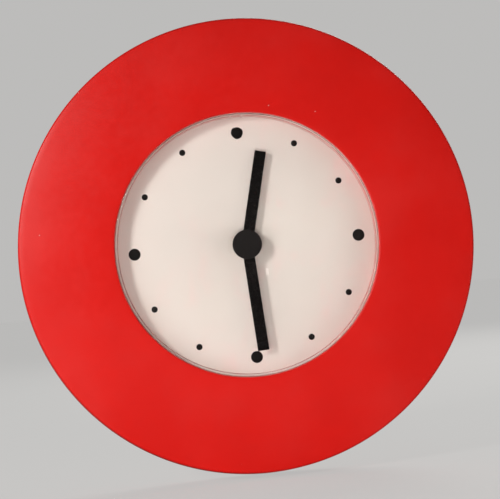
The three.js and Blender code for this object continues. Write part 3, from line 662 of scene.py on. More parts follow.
def fitted(piece, body, slot, finish, *nodes):
    """Gives a finished piece its material and its body, and hides the nodes it stands for. The slot is
    not used.
    """
    piece.data.materials.clear()
    piece.data.materials.append(finish)
    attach(piece, body)
    if nodes:
        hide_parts(*nodes)
    return piece


case_red = plastic(
    "case_red", colour(0xCD150F), 0.36, grain=1400.0, grain_depth=0.000012, drift=0.035, marks=0.45,
    specks=0.006, film=0.010, worn=colour(0xE04038), wear=0.35, dust=(0.75, 0.62, 0.58, 1),
    Specular_IOR_Level=0.36)


def case_ring():
    pilot_radius, pilot_end = 1.4, 33
    boss_radius, boss_top = 3.7, face_height(BOSS_CIRCLE) - SKIN / 2
    body = turned("case_moulding", case_outline(), ROUND)
    added = [turned_by(case_rib(), 22.5 + 45 * n) for n in range(8)]
    holes = []
    for angle in BOSS_ANGLES:
        place = around(angle, BOSS_CIRCLE)
        added.append(round_bar("boss", boss_radius, BOSS_REAR, boss_top, place, 0.3))
        holes.append(round_bar("pilot", pilot_radius, BOSS_REAR - 1, pilot_end, place, segments=20))
    return cut(joined(body, *added), *holes)


fitted(case_ring(), "root", "red_case", case_red, "case_ring")


# ---- Dial ----
# A thin off-white printed disc that lies on the back plate. Its twelve marks are plain ink dots,
# large at 12, 3, 6 and 9 and small between.

DIAL_REAR = PLATE_FRONT + 0.2
DIAL_FRONT = DIAL_REAR + 1
BUSH_HOLE = 4.3
DOT_CIRCLE = 84.6
LARGE_DOT = 4.5
SMALL_DOT = 2.35
INK_THICKNESS = 0.05


def dial_print():
    """Matt white print with slow changes of tone, pink patches of painted reflection and bounce light
    from the red ring, and a little dust lying on it.
    """
    finish = Finish("dial_print", IOR=1.45)
    ground = finish.effect(tone_drift, Colour=colour(0xEDE2DA), Patches_per_metre=22.0, Amount=0.018)
    # Painted reflection and bounce light: pink patches that stand for the red ring's glow seen in the
    # lens and thrown onto the dial
    painted_pink_reflection = finish.effect(tone_drift, Colour=colour(0xF4DAD4), Patches_per_metre=60.0, Amount=0.012)
    # This mask comes from the handling-marks effect, but here it places the painted pink light, not
    # finger marks
    patches = finish.effect(handling_marks, Marks_per_metre=12.0, Cover=0.9)
    toned_with_painted_reflection = finish.blend(patches["Mask"], ground["Colour"], painted_pink_reflection["Colour"])
    dirt = finish.effect(settled_dust, Specks_per_metre=420.0, Speck_cover=0.01, Film=0.05)
    finish.feed(finish.blend(dirt["Mask"], toned_with_painted_reflection, colour(0xCDBBA2)), "Base Color")
    fibre = finish.effect(moulded_grain, Grains_per_metre=3600.0)
    finish.gloss(0.52, (fibre["Mask"], 0.06), (patches["Mask"], 0.08))
    finish.relief(fibre["Height"], 0.35, 0.000008)
    return finish.material


def dial():
    edge, radius = 0.1, OPENING_RADIUS - 0.7
    return turned("dial_disc", softened([
        (BUSH_HOLE, DIAL_REAR, edge),
        (radius, DIAL_REAR, edge),
        (radius, DIAL_FRONT, 0.15),
        (BUSH_HOLE, DIAL_FRONT, edge),
    ], 2))


def dial_dots():
    rear, front = DIAL_FRONT - INK_THICKNESS / 2, DIAL_FRONT + INK_THICKNESS
    dots = []
    for hour in range(12):
        radius = LARGE_DOT if hour % 3 == 0 else SMALL_DOT
        dots.append(round_bar("dot", radius, rear, front, around(30 * hour, DOT_CIRCLE), 0.02, 64))
    return gathered("dial_dots", dots)


black_ink = plastic(
    "black_ink", colour(0x0E0908), 0.42, grain=5200.0, grain_depth=0.000006, drift=0.10, marks=0.2,
    specks=0.01, film=0.008, worn=colour(0x1C1613), wear=0.3, edge=0.00012, Specular_IOR_Level=0.25)

fitted(dial(), "root", "dial_white", dial_print(), "dial")
fitted(dial_dots(), "root", "hand_black", black_ink)


# ---- Lens ----
# A clear acrylic disc moulded in one with a skirt that stands on the dial's edge inside the ring,
# and two small lugs at 12 o'clock that key it.

LENS_RADIUS = OPENING_RADIUS - 0.4
LENS_REAR = 35.3
LENS_FRONT = 36.9
LENS_SKIRT = 1.8


def lens():
    skirt_rear, inside = DIAL_FRONT + GAP, LENS_RADIUS - LENS_SKIRT
    body = turned("lens_disc", softened([
        (0, LENS_REAR, 0),
        (inside, LENS_REAR, 0.5),
        (inside, skirt_rear, 0.2),
        (LENS_RADIUS, skirt_rear, 0.2),
        (LENS_RADIUS, LENS_FRONT, 0.5),
        (0, LENS_FRONT, 0),
    ], 4))
    half, spacing, depth, corner = 0.6, 8.4, 2.0, 0.2
    top = LENS_RADIUS - LENS_SKIRT / 2
    lugs = []
    for middle in (-spacing / 2, spacing / 2):
        outline = softened([(middle - half, top - depth, corner), (middle + half, top - depth, corner),
                            (middle + half, top, 0), (middle - half, top, 0)], 3)
        lugs.append(slab("lug", outline, skirt_rear, LENS_REAR + 0.5))
    return joined(body, *lugs)


def clear_acrylic():
    """Clear for sight, and clear for the light that reaches the dial."""
    finish = Finish("clear_acrylic", IOR=1.49, Metallic=0.0, Transmission_Weight=1.0)
    smears = finish.effect(handling_marks, Marks_per_metre=14.0, Cover=0.5)
    dirt = finish.effect(settled_dust, Specks_per_metre=260.0, Speck_cover=0.006, Film=0.02)
    tint = finish.effect(tone_drift, Colour=(0.975, 0.985, 0.98, 1), Patches_per_metre=12.0,
                         Amount=0.008)
    finish.feed(finish.blend(dirt["Mask"], tint["Colour"], (0.9, 0.88, 0.85, 1)), "Base Color")
    finish.gloss(0.012, (smears["Mask"], 0.03), (dirt["Mask"], 0.25))
    sink = finish.effect(moulded_grain, Grains_per_metre=30.0)
    finish.relief(sink["Height"], 0.02, 0.0001)
    rays = finish.add("LightPath").outputs
    lighting = finish.maths("MAXIMUM", rays["Is Shadow Ray"], rays["Is Diffuse Ray"])
    clear = finish.add("BsdfTransparent", Color=(0.97, 0.975, 0.97, 1))
    finish.show(lighting, clear.outputs["BSDF"])
    return finish.material


fitted(lens(), "root", "lens_clear", clear_acrylic(), "lens")


# ---- Back plate and its screws ----
# A white moulded plate that carries the dial and the movement, with a stiffening rim, four ribs, a
# frame round the movement and two posts for the hanger. Four steel screws hold it to the ring.

PLATE_REAR = 21.2
PLATE_RADIUS = 112.0
PLATE_RIM_REAR = 16.0
FRAME_REAR = 18.6
FRAME_INSIDE = 28.6
FRAME_OUTSIDE = 30.0
HANGER_Z = 82.0
HANGER_SCREW_X = 17.0
HANGER_REAR = 3.0
HANGER_FRONT = 4.3
OVERLAP = 0.5  # how far a rib, frame or post starts inside what it grows from
ROOTED = PLATE_REAR + OVERLAP
PILOT = 1.4
CLEARANCE = 1.8
PLATE_SCREW_LENGTH = 11
STRAP_SCREW_LENGTH = 12


def rectangle(left, right, bottom, top, radius=0.0, steps=6):
    return softened([(left, bottom, radius), (right, bottom, radius), (right, top, radius),
                     (left, top, radius)], steps)


def centred(half_width, half_height, radius=0.0, steps=6):
    return rectangle(-half_width, half_width, -half_height, half_height, radius, steps)


def plate_disc():
    thickness = PLATE_FRONT - PLATE_REAR
    edge, inside = 0.4, PLATE_RADIUS - thickness
    return turned("plate_moulding", softened([
        (BUSH_HOLE, PLATE_REAR, 0.2),
        (inside, PLATE_REAR, 0.5),
        (inside, PLATE_RIM_REAR, edge),
        (PLATE_RADIUS, PLATE_RIM_REAR, edge),
        (PLATE_RADIUS, PLATE_FRONT, edge),
        (BUSH_HOLE, PLATE_FRONT, 0.2),
    ], 3), 192)


def plate_frame_and_ribs():
    """A square frame round the movement, and four ribs from its corners to the rim."""
    half, bearing = 0.9, 65
    frame_body = slab("frame", centred(FRAME_OUTSIDE, FRAME_OUTSIDE, 1.5), FRAME_REAR, ROOTED, 0.3)
    window = slab("window", centred(FRAME_INSIDE, FRAME_INSIDE, 0.6), FRAME_REAR - 1, PLATE_REAR)
    raised = [cut(frame_body, window)]
    start = FRAME_OUTSIDE / math.sin(math.radians(bearing)) - 0.4
    for angle in (bearing, 180 - bearing, 180 + bearing, -bearing):
        outline = rectangle(-half, half, start, PLATE_RADIUS - 1)
        raised.append(turned_by(slab("rib", outline, FRAME_REAR, ROOTED, 0.2), angle))
    return raised


def hanger_post(place):
    """A post with four gussets that the strap's screw goes into, and the hole for that screw."""
    radius, gusset_reach, gusset_half, gusset_rear, screw_depth = 4, 6.5, 0.6, 12, 13
    raised = [round_bar("post", radius, HANGER_FRONT + GAP, ROOTED, place, 0.3, 40)]
    for turn in (0, 90):
        gusset = slab("gusset", centred(gusset_reach, gusset_half), gusset_rear, ROOTED, 0.15)
        raised.append(moved_to(turned_by(gusset, turn), place))
    hole = round_bar("pilot", PILOT, HANGER_FRONT, HANGER_FRONT + screw_depth, place, segments=24)
    return raised, hole


def moulded_plate():
    raised, cuts = plate_frame_and_ribs(), []
    for side in (-1, 1):
        post, hole = hanger_post((side * HANGER_SCREW_X, HANGER_Z))
        raised += post
        cuts.append(hole)
    for angle in BOSS_ANGLES:
        place = around(angle, BOSS_CIRCLE)
        cuts.append(round_bar("hole", CLEARANCE, PLATE_RIM_REAR, PLATE_FRONT + 1, place, segments=24))
    ejectors, ejector_circle, ejector_radius, ejector_depth = 10, 92, 2.6, 0.15
    for n in range(ejectors):
        place = around(18 + 360 / ejectors * n, ejector_circle)
        cuts.append(round_bar("ejector_mark", ejector_radius, PLATE_REAR - 1,
                              PLATE_REAR + ejector_depth, place, segments=32))
    body = plate_disc()
    for piece in raised:
        joined(body, piece)
    return cut(body, *cuts)


def pan_screw(name, under_head, length, centre, turn):
    """A pan-head screw driven forwards, with a cross recess in its head."""
    head, head_height, shank, point = 3.0, 1.8, 1.1, 1.0
    top = under_head - head_height
    body = turned(name, softened([
        (0, top, 0),
        (head, top, 1.1),
        (head, under_head, 0.15),
        (shank, under_head, 0),
        (shank, under_head + length - point, 0.2),
        (0, under_head + length, 0),
    ], 5), 40)
    half, arm, depth = 0.38, 1.5, 1.1
    for quarter in (0, 90):
        blade = slab("blade", centred(half, arm, 0.1, 2), top - 1, top + depth)
        cut(body, turned_by(blade, turn + quarter))
    return moved_to(body, centre)


def brushed_lines_group():
    """Fine parallel scratches along the clock's width: a height, and a mask for gloss and colour."""
    group = Effect("brushed_lines", {"Lines per metre": 4000.0},
                   {"Height": "NodeSocketFloat", "Mask": "NodeSocketFloat"})
    lines = group.noise(group.given["Lines per metre"], group.stretched((0.02, 1.0, 1.0)),
                        Detail=3.0, Roughness=0.7)
    return group.give(Height=lines, Mask=group.spread(lines, 0.35, 0.7))


brushed_lines = brushed_lines_group()


def metal(name, tone, dull, roughness, lines=4000.0, tarnish=0.5, depth=0.000006):
    """A bare or plated metal: brushed lines, patchy tarnish and bright rubbed edges."""
    finish = Finish(name, Metallic=1.0)
    drifting = finish.effect(tone_drift, Colour=tone, Patches_per_metre=120.0, Amount=0.06)
    brushed = finish.effect(brushed_lines, Lines_per_metre=lines)
    stain = finish.effect(handling_marks, Marks_per_metre=110.0, Cover=tarnish)
    edges = finish.effect(worn_edges, Width=0.0003, Amount=0.7)
    stained = finish.blend(stain["Mask"], drifting["Colour"], dull)
    finish.feed(finish.blend(edges["Mask"], stained, tone), "Base Color")
    finish.gloss(roughness, (brushed["Mask"], 0.12), (stain["Mask"], 0.22))
    finish.relief(brushed["Height"], 0.5, depth)
    return finish.material


white_plate = plastic(
    "white_plate", colour(0xDAD7CC), 0.48, grain=1900.0, grain_depth=0.00002, drift=0.03, marks=0.4,
    specks=0.05, film=0.10, worn=colour(0xE6E3DA), wear=0.4, dust=colour(0xA79F8E))
zinc_steel = metal("zinc_steel", colour(0xC4C6C6), colour(0x8E8A7C), 0.30)

fitted(moulded_plate(), "root", "plate_white", white_plate, "back_plate")
for index, angle in enumerate(BOSS_ANGLES, start=1):
    place = around(angle, BOSS_CIRCLE)
    turn = 37 * index  # no two screws stop at the same angle
    screw = pan_screw(f"plate_screw_{index}", PLATE_REAR - GAP, PLATE_SCREW_LENGTH, place, turn)
    fitted(screw, "root", "steel", zinc_steel, f"back_plate_screw_{index}")


# ---- Hanger ----
# A pressed steel strap with a keyhole, screwed to the plate's two posts: the nail's head goes in at
# the round end, and the slot's flat top rests on the nail.

KEYHOLE_ENTRY = 4.75
KEYHOLE_SLOT = 2.3
KEYHOLE_ENTRY_Z = HANGER_Z - 3.5
KEYHOLE_TOP = HANGER_Z + 4


def hanger_plate():
    half_length, half_width = 23, 10
    outline = rectangle(-half_length, half_length, HANGER_Z - half_width, HANGER_Z + half_width, 4, 10)
    body = slab("hanger_strap", outline, HANGER_REAR, HANGER_FRONT, 0.25)
    behind, beyond = HANGER_REAR - 1, HANGER_FRONT + 1
    slot = rectangle(-KEYHOLE_SLOT, KEYHOLE_SLOT, KEYHOLE_ENTRY_Z, KEYHOLE_TOP)
    cut(body, round_bar("entry", KEYHOLE_ENTRY, behind, beyond, (0, KEYHOLE_ENTRY_Z), segments=64))
    cut(body, slab("slot", slot, behind, beyond))
    places = [(side * HANGER_SCREW_X, HANGER_Z) for side in (-1, 1)]
    return cut(body, *[round_bar("hole", CLEARANCE, behind, beyond, place) for place in places])


fitted(hanger_plate(), "root", "steel", zinc_steel, "hanger_plate")
for side, word, turn in ((-1, "left", 15), (1, "right", 62)):
    place = (side * HANGER_SCREW_X, HANGER_Z)
    screw = pan_screw(f"strap_screw_{word}", HANGER_REAR - GAP, STRAP_SCREW_LENGTH, place, turn)
    fitted(screw, "root", "steel", zinc_steel, f"hanger_screw_{word}")


# ---- Fixing of the movement ----
# The movement's bush comes through the plate and the dial: a rubber ring behind the plate takes up
# the play, and a stamped brass washer and a turned brass nut pull it tight in front of the dial.

BUSH_RADIUS = 4.0
BUSH_FRONT = 28.2
MOVEMENT_FRONT = 20.0
WASHER_REAR = DIAL_FRONT + GAP
WASHER_FRONT = WASHER_REAR + 0.6


def flat_ring(name, inner, outer, rear, front, edge):
    corners = [(inner, rear), (outer, rear), (outer, front), (inner, front)]
    return turned(name, softened([(*corner, edge) for corner in corners], 3), 72)


def hex_nut():
    rear, height, across_flats, drop, chamfer = WASHER_FRONT + GAP, 2.2, 12.0, 0.45, 0.4
    front = rear + height
    corner = across_flats / 2 / math.cos(math.pi / 6)
    body = slab("spindle_nut", [around(30 + 60 * n, corner) for n in range(6)], rear, front)
    cone = turned("cone", [(0, rear - 1), (corner + 1, rear - 1), (corner + 1, front - drop),
                           (across_flats / 2 - 0.2, front + drop / 4), (0, front + drop / 4)], 72)
    shaped(body, "INTERSECT", [cone])
    hole = turned("hole", [(0, rear - 1), (BUSH_HOLE, rear - 1), (BUSH_HOLE, front - chamfer),
                           (BUSH_HOLE + 0.9, front + 0.5), (0, front + 0.5)], 48)
    return cut(body, hole)


brass = metal("brass", colour(0xC9A24E), colour(0x8A6A33), 0.26)
rubber = plastic(
    "black_rubber", colour(0x1B1A19), 0.78, grain=4200.0, grain_depth=0.00004, drift=0.10, marks=0.2,
    specks=0.05, film=0.12, worn=colour(0x34312E), wear=0.5)

GASKET_RADIUS = 9.0
GASKET_GAP = 0.2
WASHER_RADIUS = 7.5
gasket = flat_ring("cushion_ring", BUSH_HOLE, GASKET_RADIUS, MOVEMENT_FRONT + GASKET_GAP,
                   PLATE_REAR - GASKET_GAP, 0.2)
fitted(gasket, "root", "rubber", rubber, "rubber_gasket")
washer = flat_ring("stamped_washer", BUSH_HOLE, WASHER_RADIUS, WASHER_REAR, WASHER_FRONT, 0.12)
fitted(washer, "root", "brass", brass, "brass_washer")
fitted(hex_nut(), "root", "brass", brass, "bush_nut")


# ---- Movement front housing ----
# The front half of the movement's case, a square tub moulded in black plastic with the threaded bush,
# the battery bay's inner wall, pillars for the bridge, and four sockets for the lid's snap hooks.

MOVEMENT_HALF = 28.0
MOVEMENT_WALL = 1.5
MOVEMENT_CORNER = 4.0
CAVITY_FRONT = 18.8
CAVITY_REAR = 5.4
LID_REAR = 4.0
LID_FRONT = 5.1
BAY_WALL_BOTTOM, BAY_WALL_TOP = -11.4, -10.4
BATTERY_HEIGHT = 11.6
BRIDGE_REAR, BRIDGE_FRONT = 11.5, 12.2
HOUR_PIPE = 2.5
PIVOT_HOLE = 0.9
HOOK_DEPTH = 0.9
HOOK_PLAY = 0.2
HOOK_SIDES = ((90, 14.0), (270, -14.0), (0, 15.0), (0, -15.0))  # side faced, place along it
MOVEMENT_ROOTED = MOVEMENT_FRONT - OVERLAP
PILLARS = ((-13.5, 9.5), (13.5, 10.8), (-12, -7.5), (12.5, -7.5))


def centre_of(node):
    """The (x, z) of a node's middle, in millimetres."""
    low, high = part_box(node)
    return (low[0] + high[0]) / 2 / MM, (low[2] + high[2]) / 2 / MM


MINUTE_ARBOR = centre_of("minute_wheel")
SETTING_ARBOR = centre_of("setting_knob")
THIRD_ARBOR = centre_of("third_wheel")
STEP_ARBOR = centre_of("step_wheel")
ROTOR_ARBOR = centre_of("rotor_magnet")


def snap_hooks(width, thickness, rear, front):
    """Four tongues that stand on the lid's edge, or the sockets for them when made larger."""
    inside = MOVEMENT_HALF - HOOK_DEPTH
    tongues = []
    for side, along in HOOK_SIDES:
        outline = rectangle(along - width / 2, along + width / 2, inside, inside + thickness)
        tongues.append(turned_by(slab("hook", outline, rear, front), side))
    return tongues


def threaded_bush():
    """The hollow bush, with the crests and roots of its thread turned into its side."""
    pitch, depth, plain, tip = 0.75, 0.24, 0.8, 0.3
    height = MOVEMENT_FRONT + plain
    corners = [(0, MOVEMENT_ROOTED), (BUSH_RADIUS, MOVEMENT_ROOTED), (BUSH_RADIUS, height)]
    while height + pitch < BUSH_FRONT - tip:
        corners.append((BUSH_RADIUS - depth, height + pitch / 2))
        height += pitch
        corners.append((BUSH_RADIUS, height))
    corners += [(BUSH_RADIUS - tip, BUSH_FRONT), (0, BUSH_FRONT)]
    return turned("bush", corners, 48)


def bay_wall():
    """The battery bay's inner wall, with a slot at each end for the tail of a contact."""
    reach, slot_start = 26.7, 25.4
    wall = slab("wall", rectangle(-reach, reach, BAY_WALL_BOTTOM, BAY_WALL_TOP), CAVITY_REAR,
                MOVEMENT_ROOTED)
    slots = []
    for left, right in ((-MOVEMENT_HALF, -slot_start), (slot_start, MOVEMENT_HALF)):
        outline = rectangle(left, right, BAY_WALL_BOTTOM - 1, BAY_WALL_TOP + 1)
        slots.append(slab("slot", outline, CAVITY_REAR - 1, MOVEMENT_ROOTED))
    return cut(wall, *slots)


def movement_tub():
    half, inner = MOVEMENT_HALF, MOVEMENT_HALF - MOVEMENT_WALL
    pillar, socket, post, post_rear, edge = 1.6, 1.8, 0.9, 14.5, 0.15
    notch_half, hook_width, hook_front = 8, 6.0, 9.4
    body = slab("movement_tub", centred(half, half, MOVEMENT_CORNER, 12), CAVITY_REAR,
                MOVEMENT_FRONT, 0.45)
    cavity = centred(inner, inner, MOVEMENT_CORNER - MOVEMENT_WALL, 10)
    cut(body, slab("cavity", cavity, CAVITY_REAR - 1, CAVITY_FRONT))
    raised = [bay_wall(), threaded_bush()]
    for place in PILLARS:
        raised.append(round_bar("pillar", pillar, BRIDGE_FRONT + GAP, MOVEMENT_ROOTED, place, edge))
    raised.append(round_bar("post", post, post_rear, MOVEMENT_ROOTED, MINUTE_ARBOR, 0.1, 20))
    cuts = [round_bar("bore", HOUR_PIPE + GAP, CAVITY_FRONT - 1, BUSH_FRONT + 1, segments=40)]
    for arbor, rear in ((THIRD_ARBOR, 14.6), (SETTING_ARBOR, 16.8)):
        raised.append(round_bar("socket", socket, rear, MOVEMENT_ROOTED, arbor, edge))
        cuts.append(round_bar("pivot", PIVOT_HOLE, rear - 1, CAVITY_FRONT, arbor, segments=20))
    for piece in raised:
        joined(body, piece)
    notch = rectangle(-notch_half, notch_half, -half - 1, 0.5 - inner)
    cuts.append(slab("thumb_notch", notch, CAVITY_REAR - 1, BATTERY_HEIGHT))
    cuts += snap_hooks(hook_width, HOOK_DEPTH + HOOK_PLAY, CAVITY_REAR - 1, hook_front)
    return cut(body, *cuts)


movement_black = plastic(
    "movement_black", colour(0x1F1E1D), 0.50, grain=2300.0, grain_depth=0.00004, drift=0.07, marks=0.35,
    specks=0.05, film=0.05, worn=colour(0x3B3835), wear=0.6, edge=0.0004)

fitted(movement_tub(), "root", "movement_black", movement_black, "movement_front_housing")


# ---- Movement back cover ----
# The lid over the train, in the same black plastic, snapped on by four hooks. It leaves the battery
# bay open, and carries a sunk panel, a turning arrow round the setting knob and the cell's two signs.

ENGRAVING = 0.25


def arrow_round_knob():
    """A curved arrow from 10 o'clock to 2 o'clock round the knob."""
    inner, outer, first, last, steps = 7.3, 8.3, -60, 42, 24
    middle = (inner + outer) / 2
    arc = [first + (last - first) * step / steps for step in range(steps + 1)]
    outline = [around(angle, outer) for angle in arc]
    outline += [around(last, outer + 0.8), around(last + 16, middle), around(last, inner - 0.8)]
    outline += [around(angle, inner) for angle in reversed(arc)]
    return moved_to(slab("arrow", outline, LID_REAR - 1, LID_REAR + ENGRAVING), SETTING_ARBOR)


def battery_signs():
    """A plus on the right and a minus on the left, as generic marks."""
    long, thin, place, level = 1.5, 0.3, 22.0, -8.2
    signs = []
    for x, half_width, half_height in ((place, long, thin), (place, thin, long), (-place, long, thin)):
        bar = slab("sign", centred(half_width, half_height), LID_REAR - 1, LID_REAR + ENGRAVING)
        signs.append(moved_to(bar, (x, level)))
    return signs


def lid_panel():
    """The tool for the sunk panel, which leaves an island round the setting knob."""
    inner, bottom, corner, island_radius = MOVEMENT_HALF - 2.2, -4.5, 2.5, 9.6
    panel = slab("panel", rectangle(-inner, inner, bottom, inner, corner, 10), LID_REAR - 1,
                 LID_REAR + ENGRAVING)
    island = round_bar("island", island_radius, LID_REAR - 2, LID_REAR + 1, SETTING_ARBOR, segments=96)
    return cut(panel, island)


def movement_lid():
    half, hook_width, hook_front = MOVEMENT_HALF, 5.4, 9.1
    boss, pivot_floor, knob_hole, ejector, ejector_depth = 1.7, 0.3, 1.6, 1.6, 0.12
    outline = rectangle(-half, half, BAY_WALL_BOTTOM, half, MOVEMENT_CORNER, 12)
    body = cut(slab("movement_lid", outline, LID_REAR, LID_FRONT, 0.3), lid_panel())
    for hook in snap_hooks(hook_width, HOOK_DEPTH - HOOK_PLAY, LID_FRONT - 0.6, hook_front):
        joined(body, hook)
    cuts = []
    for arbor, front in (((0, 0), 7.2), (THIRD_ARBOR, 7.2), (STEP_ARBOR, 6.4), (ROTOR_ARBOR, 6.3)):
        joined(body, round_bar("boss", boss, LID_FRONT - OVERLAP, front, arbor, 0.1, 28))
        cuts.append(round_bar("pivot", PIVOT_HOLE, LID_FRONT - pivot_floor, front + 1, arbor,
                              segments=20))
    cuts.append(round_bar("knob_hole", knob_hole, LID_REAR - 1, LID_FRONT + 1, SETTING_ARBOR))
    floor = LID_REAR + ENGRAVING + ejector_depth
    for place in ((-22, 22), (22, 2), (-22, 2)):
        cuts.append(round_bar("ejector_mark", ejector, LID_REAR - 1, floor, place))
    cut(body, *cuts)
    for mark in (arrow_round_knob(), *battery_signs()):
        cut(body, mark)
    return body


fitted(movement_lid(), "root", "movement_black", movement_black, "movement_back_cover")


# ---- Train bridge, setting knob and wheels ----
# The wheels are moulded in natural acetal and turn between the housing, a thin bridge and the lid. The
# pinion under the minute hand and the centre wheel are brass, and the knob is turned by a finger.

CENTRE_ARBOR = (0.0, 0.0)


def bridge():
    half, bottom, top, corner = 15.5, -9.4, 12.6, 2
    outline = rectangle(-half, half, bottom, top, corner)
    body = slab("bridge_plate", outline, BRIDGE_REAR, BRIDGE_FRONT, 0.12)
    holes = [
        round_bar("hole", radius, BRIDGE_REAR - 1, BRIDGE_FRONT + 1, arbor, segments=28)
        for arbor, radius in ((CENTRE_ARBOR, PIVOT_HOLE), (THIRD_ARBOR, 1.7), (STEP_ARBOR, 0.75),
                              (ROTOR_ARBOR, 0.75))
    ]
    return cut(body, *holes)


def copied(node, name):
    """A new object with the shape that the frame gives a node."""
    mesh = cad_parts[node].data.copy()
    mesh.name = name
    return linked(bpy.data.objects.new(name, mesh))


def knob_head(radius, rear, front):
    """The head for the finger: thirty shallow flutes, a dished end and a slot."""
    flutes, depth, dish_radius, dish_floor, dish_depth = 30, 0.22, 4.4, 4.0, 0.5
    slot_half_length, slot_half_width, slot_depth = 2.6, 0.45, 0.95
    outline = []
    for point in range(flutes * 8):
        bearing = 360 * point / (flutes * 8)
        wave = (1 - math.cos(math.radians(bearing * flutes))) / 2
        outline.append(around(bearing, radius - depth * wave))
    head = slab("head", outline, rear, front, 0.25)
    dish = turned("dish", softened([(0, rear - 1, 0), (dish_radius, rear - 1, 0),
                                    (dish_floor, rear + dish_depth, 0.3), (0, rear + dish_depth, 0)],
                                   4), 48)
    slot = slab("slot", centred(slot_half_length, slot_half_width, 0.2, 3), rear, rear + slot_depth)
    return moved_to(cut(cut(head, dish), slot), SETTING_ARBOR)


def fluted_knob():
    """The knob: a new head on the node's own shaft and pinion."""
    radius, rear, front = 6.0, 1.4, LID_REAR - GAP
    plain_head = round_bar("plain_head", radius + 1, rear - 1, front - 0.1, SETTING_ARBOR)
    shaft = cut(copied("setting_knob", "set_knob"), plain_head)
    return joined(shaft, knob_head(radius, rear, front))


def pierced(node, name, rear, front, hub):
    """A wheel from its node, with rounded windows through its web between hub and rim."""
    windows, half_gap, rim_share, steps = 5, 0.45, 0.80, 6
    low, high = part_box(node)
    outer = (high[0] - low[0]) / 2 / MM * rim_share
    body = copied(node, name)
    sweep = 360 / windows
    for window in range(windows):
        corners = []
        for radius, order in ((outer, 1), (hub, -1)):
            spare = math.degrees(half_gap / radius)
            for step in range(steps + 1)[::order]:
                bearing = sweep * window + spare + (sweep - 2 * spare) * step / steps
                corners.append(around(bearing, radius))
        tool = slab("window", corners, rear - 0.2, front + 0.2)
        cut(body, moved_to(tool, centre_of(node)))
    return body


def dressed(finish, *nodes):
    """A better finish on nodes whose shape is already right."""
    for node in nodes:
        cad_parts[node].data.materials[0] = finish


acetal = plastic(
    "natural_acetal", colour(0xE4E0D2), 0.40, grain=5200.0, grain_depth=0.000012, drift=0.04, marks=0.2,
    specks=0.01, film=0.02, worn=colour(0xF2F0E8), wear=0.5, edge=0.00015)

fitted(bridge(), "root", "gear_plastic", acetal, "train_bridge")
fitted(fluted_knob(), "setting_knob", "knob_black", movement_black, "setting_knob")
for node, name, rear, front, hub, finish, slot in (
    ("hour_wheel", "hour_cannon_wheel", 16.4, 17.6, 3.6, acetal, "gear_plastic"),
    ("minute_wheel", "reduction_wheel", 14.8, 15.7, 2.6, acetal, "gear_plastic"),
    ("centre_wheel", "drive_wheel", 12.6, 13.6, 2.9, brass, "brass"),
    ("third_wheel", "idler_wheel", 10.3, 11.1, 2.4, acetal, "gear_plastic"),
    ("second_wheel", "fine_wheel", 8.6, 9.4, 1.9, acetal, "gear_plastic"),
    ("step_wheel", "stepping_wheel", 6.8, 7.5, 1.6, acetal, "gear_plastic"),
):
    body = "hour_train" if node == "hour_wheel" else node
    fitted(pierced(node, name, rear, front, hub), body, slot, finish, node)
dressed(acetal, "rotor_pinion")
dressed(brass, "cannon_pinion")


# ---- Stepping motor ----
# A ring magnet on the rotor stands in the hole of a C-shaped stator of soft steel. A coil of fine
# enamelled copper, wound on a plastic bobbin, magnetises it through a steel core.

COIL_X, COIL_HEIGHT = -21.5, 11.3
COIL_BOTTOM, COIL_TOP = -3.9, 18.9


def coil_sleeve():
    """The winding: layer on layer of turns, each turn a bulge in the sleeve's side."""
    margin, turns, bulge = 1.2, 46, 0.12
    half_width, half_depth, corner = 3.88, 3.68, 2
    core_half_width, core_half_depth, core_corner = 2.9, 1.8, 0.2
    bottom, top = COIL_BOTTOM + margin, COIL_TOP - margin
    form = bmesh.new()

    def loop(section, z):
        return [form.verts.new((COIL_X + x, -COIL_HEIGHT + y, z)) for x, y in section]

    loops = []
    levels = turns * 4
    for level in range(levels + 1):
        swell = bulge * abs(math.sin(math.pi * turns * level / levels)) - bulge / 2
        section = centred(half_width + swell, half_depth + swell, corner, 5)
        loops.append(loop(section, bottom + (top - bottom) * level / levels))
    for z in (top, bottom):
        loops.append(loop(centred(core_half_width, core_half_depth, core_corner, 5), z))
    for near, far in zip(loops, loops[1:] + loops[:1]):
        banded(form, near, far)
    return finished("coil_turns", form)


def wound_wire():
    """Enamelled copper: tinted metal, dull in the grooves between turns and bright on their crests."""
    finish = Finish("enamelled_copper", Metallic=1.0)
    drifting = finish.effect(tone_drift, Colour=colour(0xC46A35), Patches_per_metre=180.0, Amount=0.10)
    edges = finish.effect(worn_edges, Width=0.0002, Amount=0.8)
    finish.feed(finish.blend(edges["Mask"], drifting["Colour"], colour(0xE8935A)), "Base Color")
    wire = finish.effect(brushed_lines, Lines_per_metre=7000.0)
    finish.gloss(0.28, (wire["Mask"], 0.15))
    finish.relief(wire["Height"], 0.6, 0.00002)
    return finish.material


soft_steel = metal("soft_steel", colour(0xA9A8A4), colour(0x6F6B64), 0.38, lines=5200.0)
sintered = metal("sintered_magnet", colour(0x5A5B5D), colour(0x3C3B3A), 0.5, lines=9000.0, tarnish=0.7)

dressed(soft_steel, "stator", "coil_core")
dressed(sintered, "rotor_magnet")
dressed(acetal, "coil_bobbin")
fitted(coil_sleeve(), "root", "copper_wire", wound_wire(), "coil_winding")


# ---- Circuit board ----
# A small epoxy board behind the lid, with the timing chip under a drop of black resin, the quartz
# crystal in its drawn steel can, and solder where the leads come through.

BOARD_REAR, BOARD_FRONT = 6.4, 7.2
BOARD_X, BOARD_Z = 18.6, 16.0
BOARD_WIDTH, BOARD_LENGTH = 13.2, 18.0
CHIP_PLACE = (17.5, 13.0)
CRYSTAL_PLACE = (18.0, 20.5)
CAN_RADIUS = 1.5


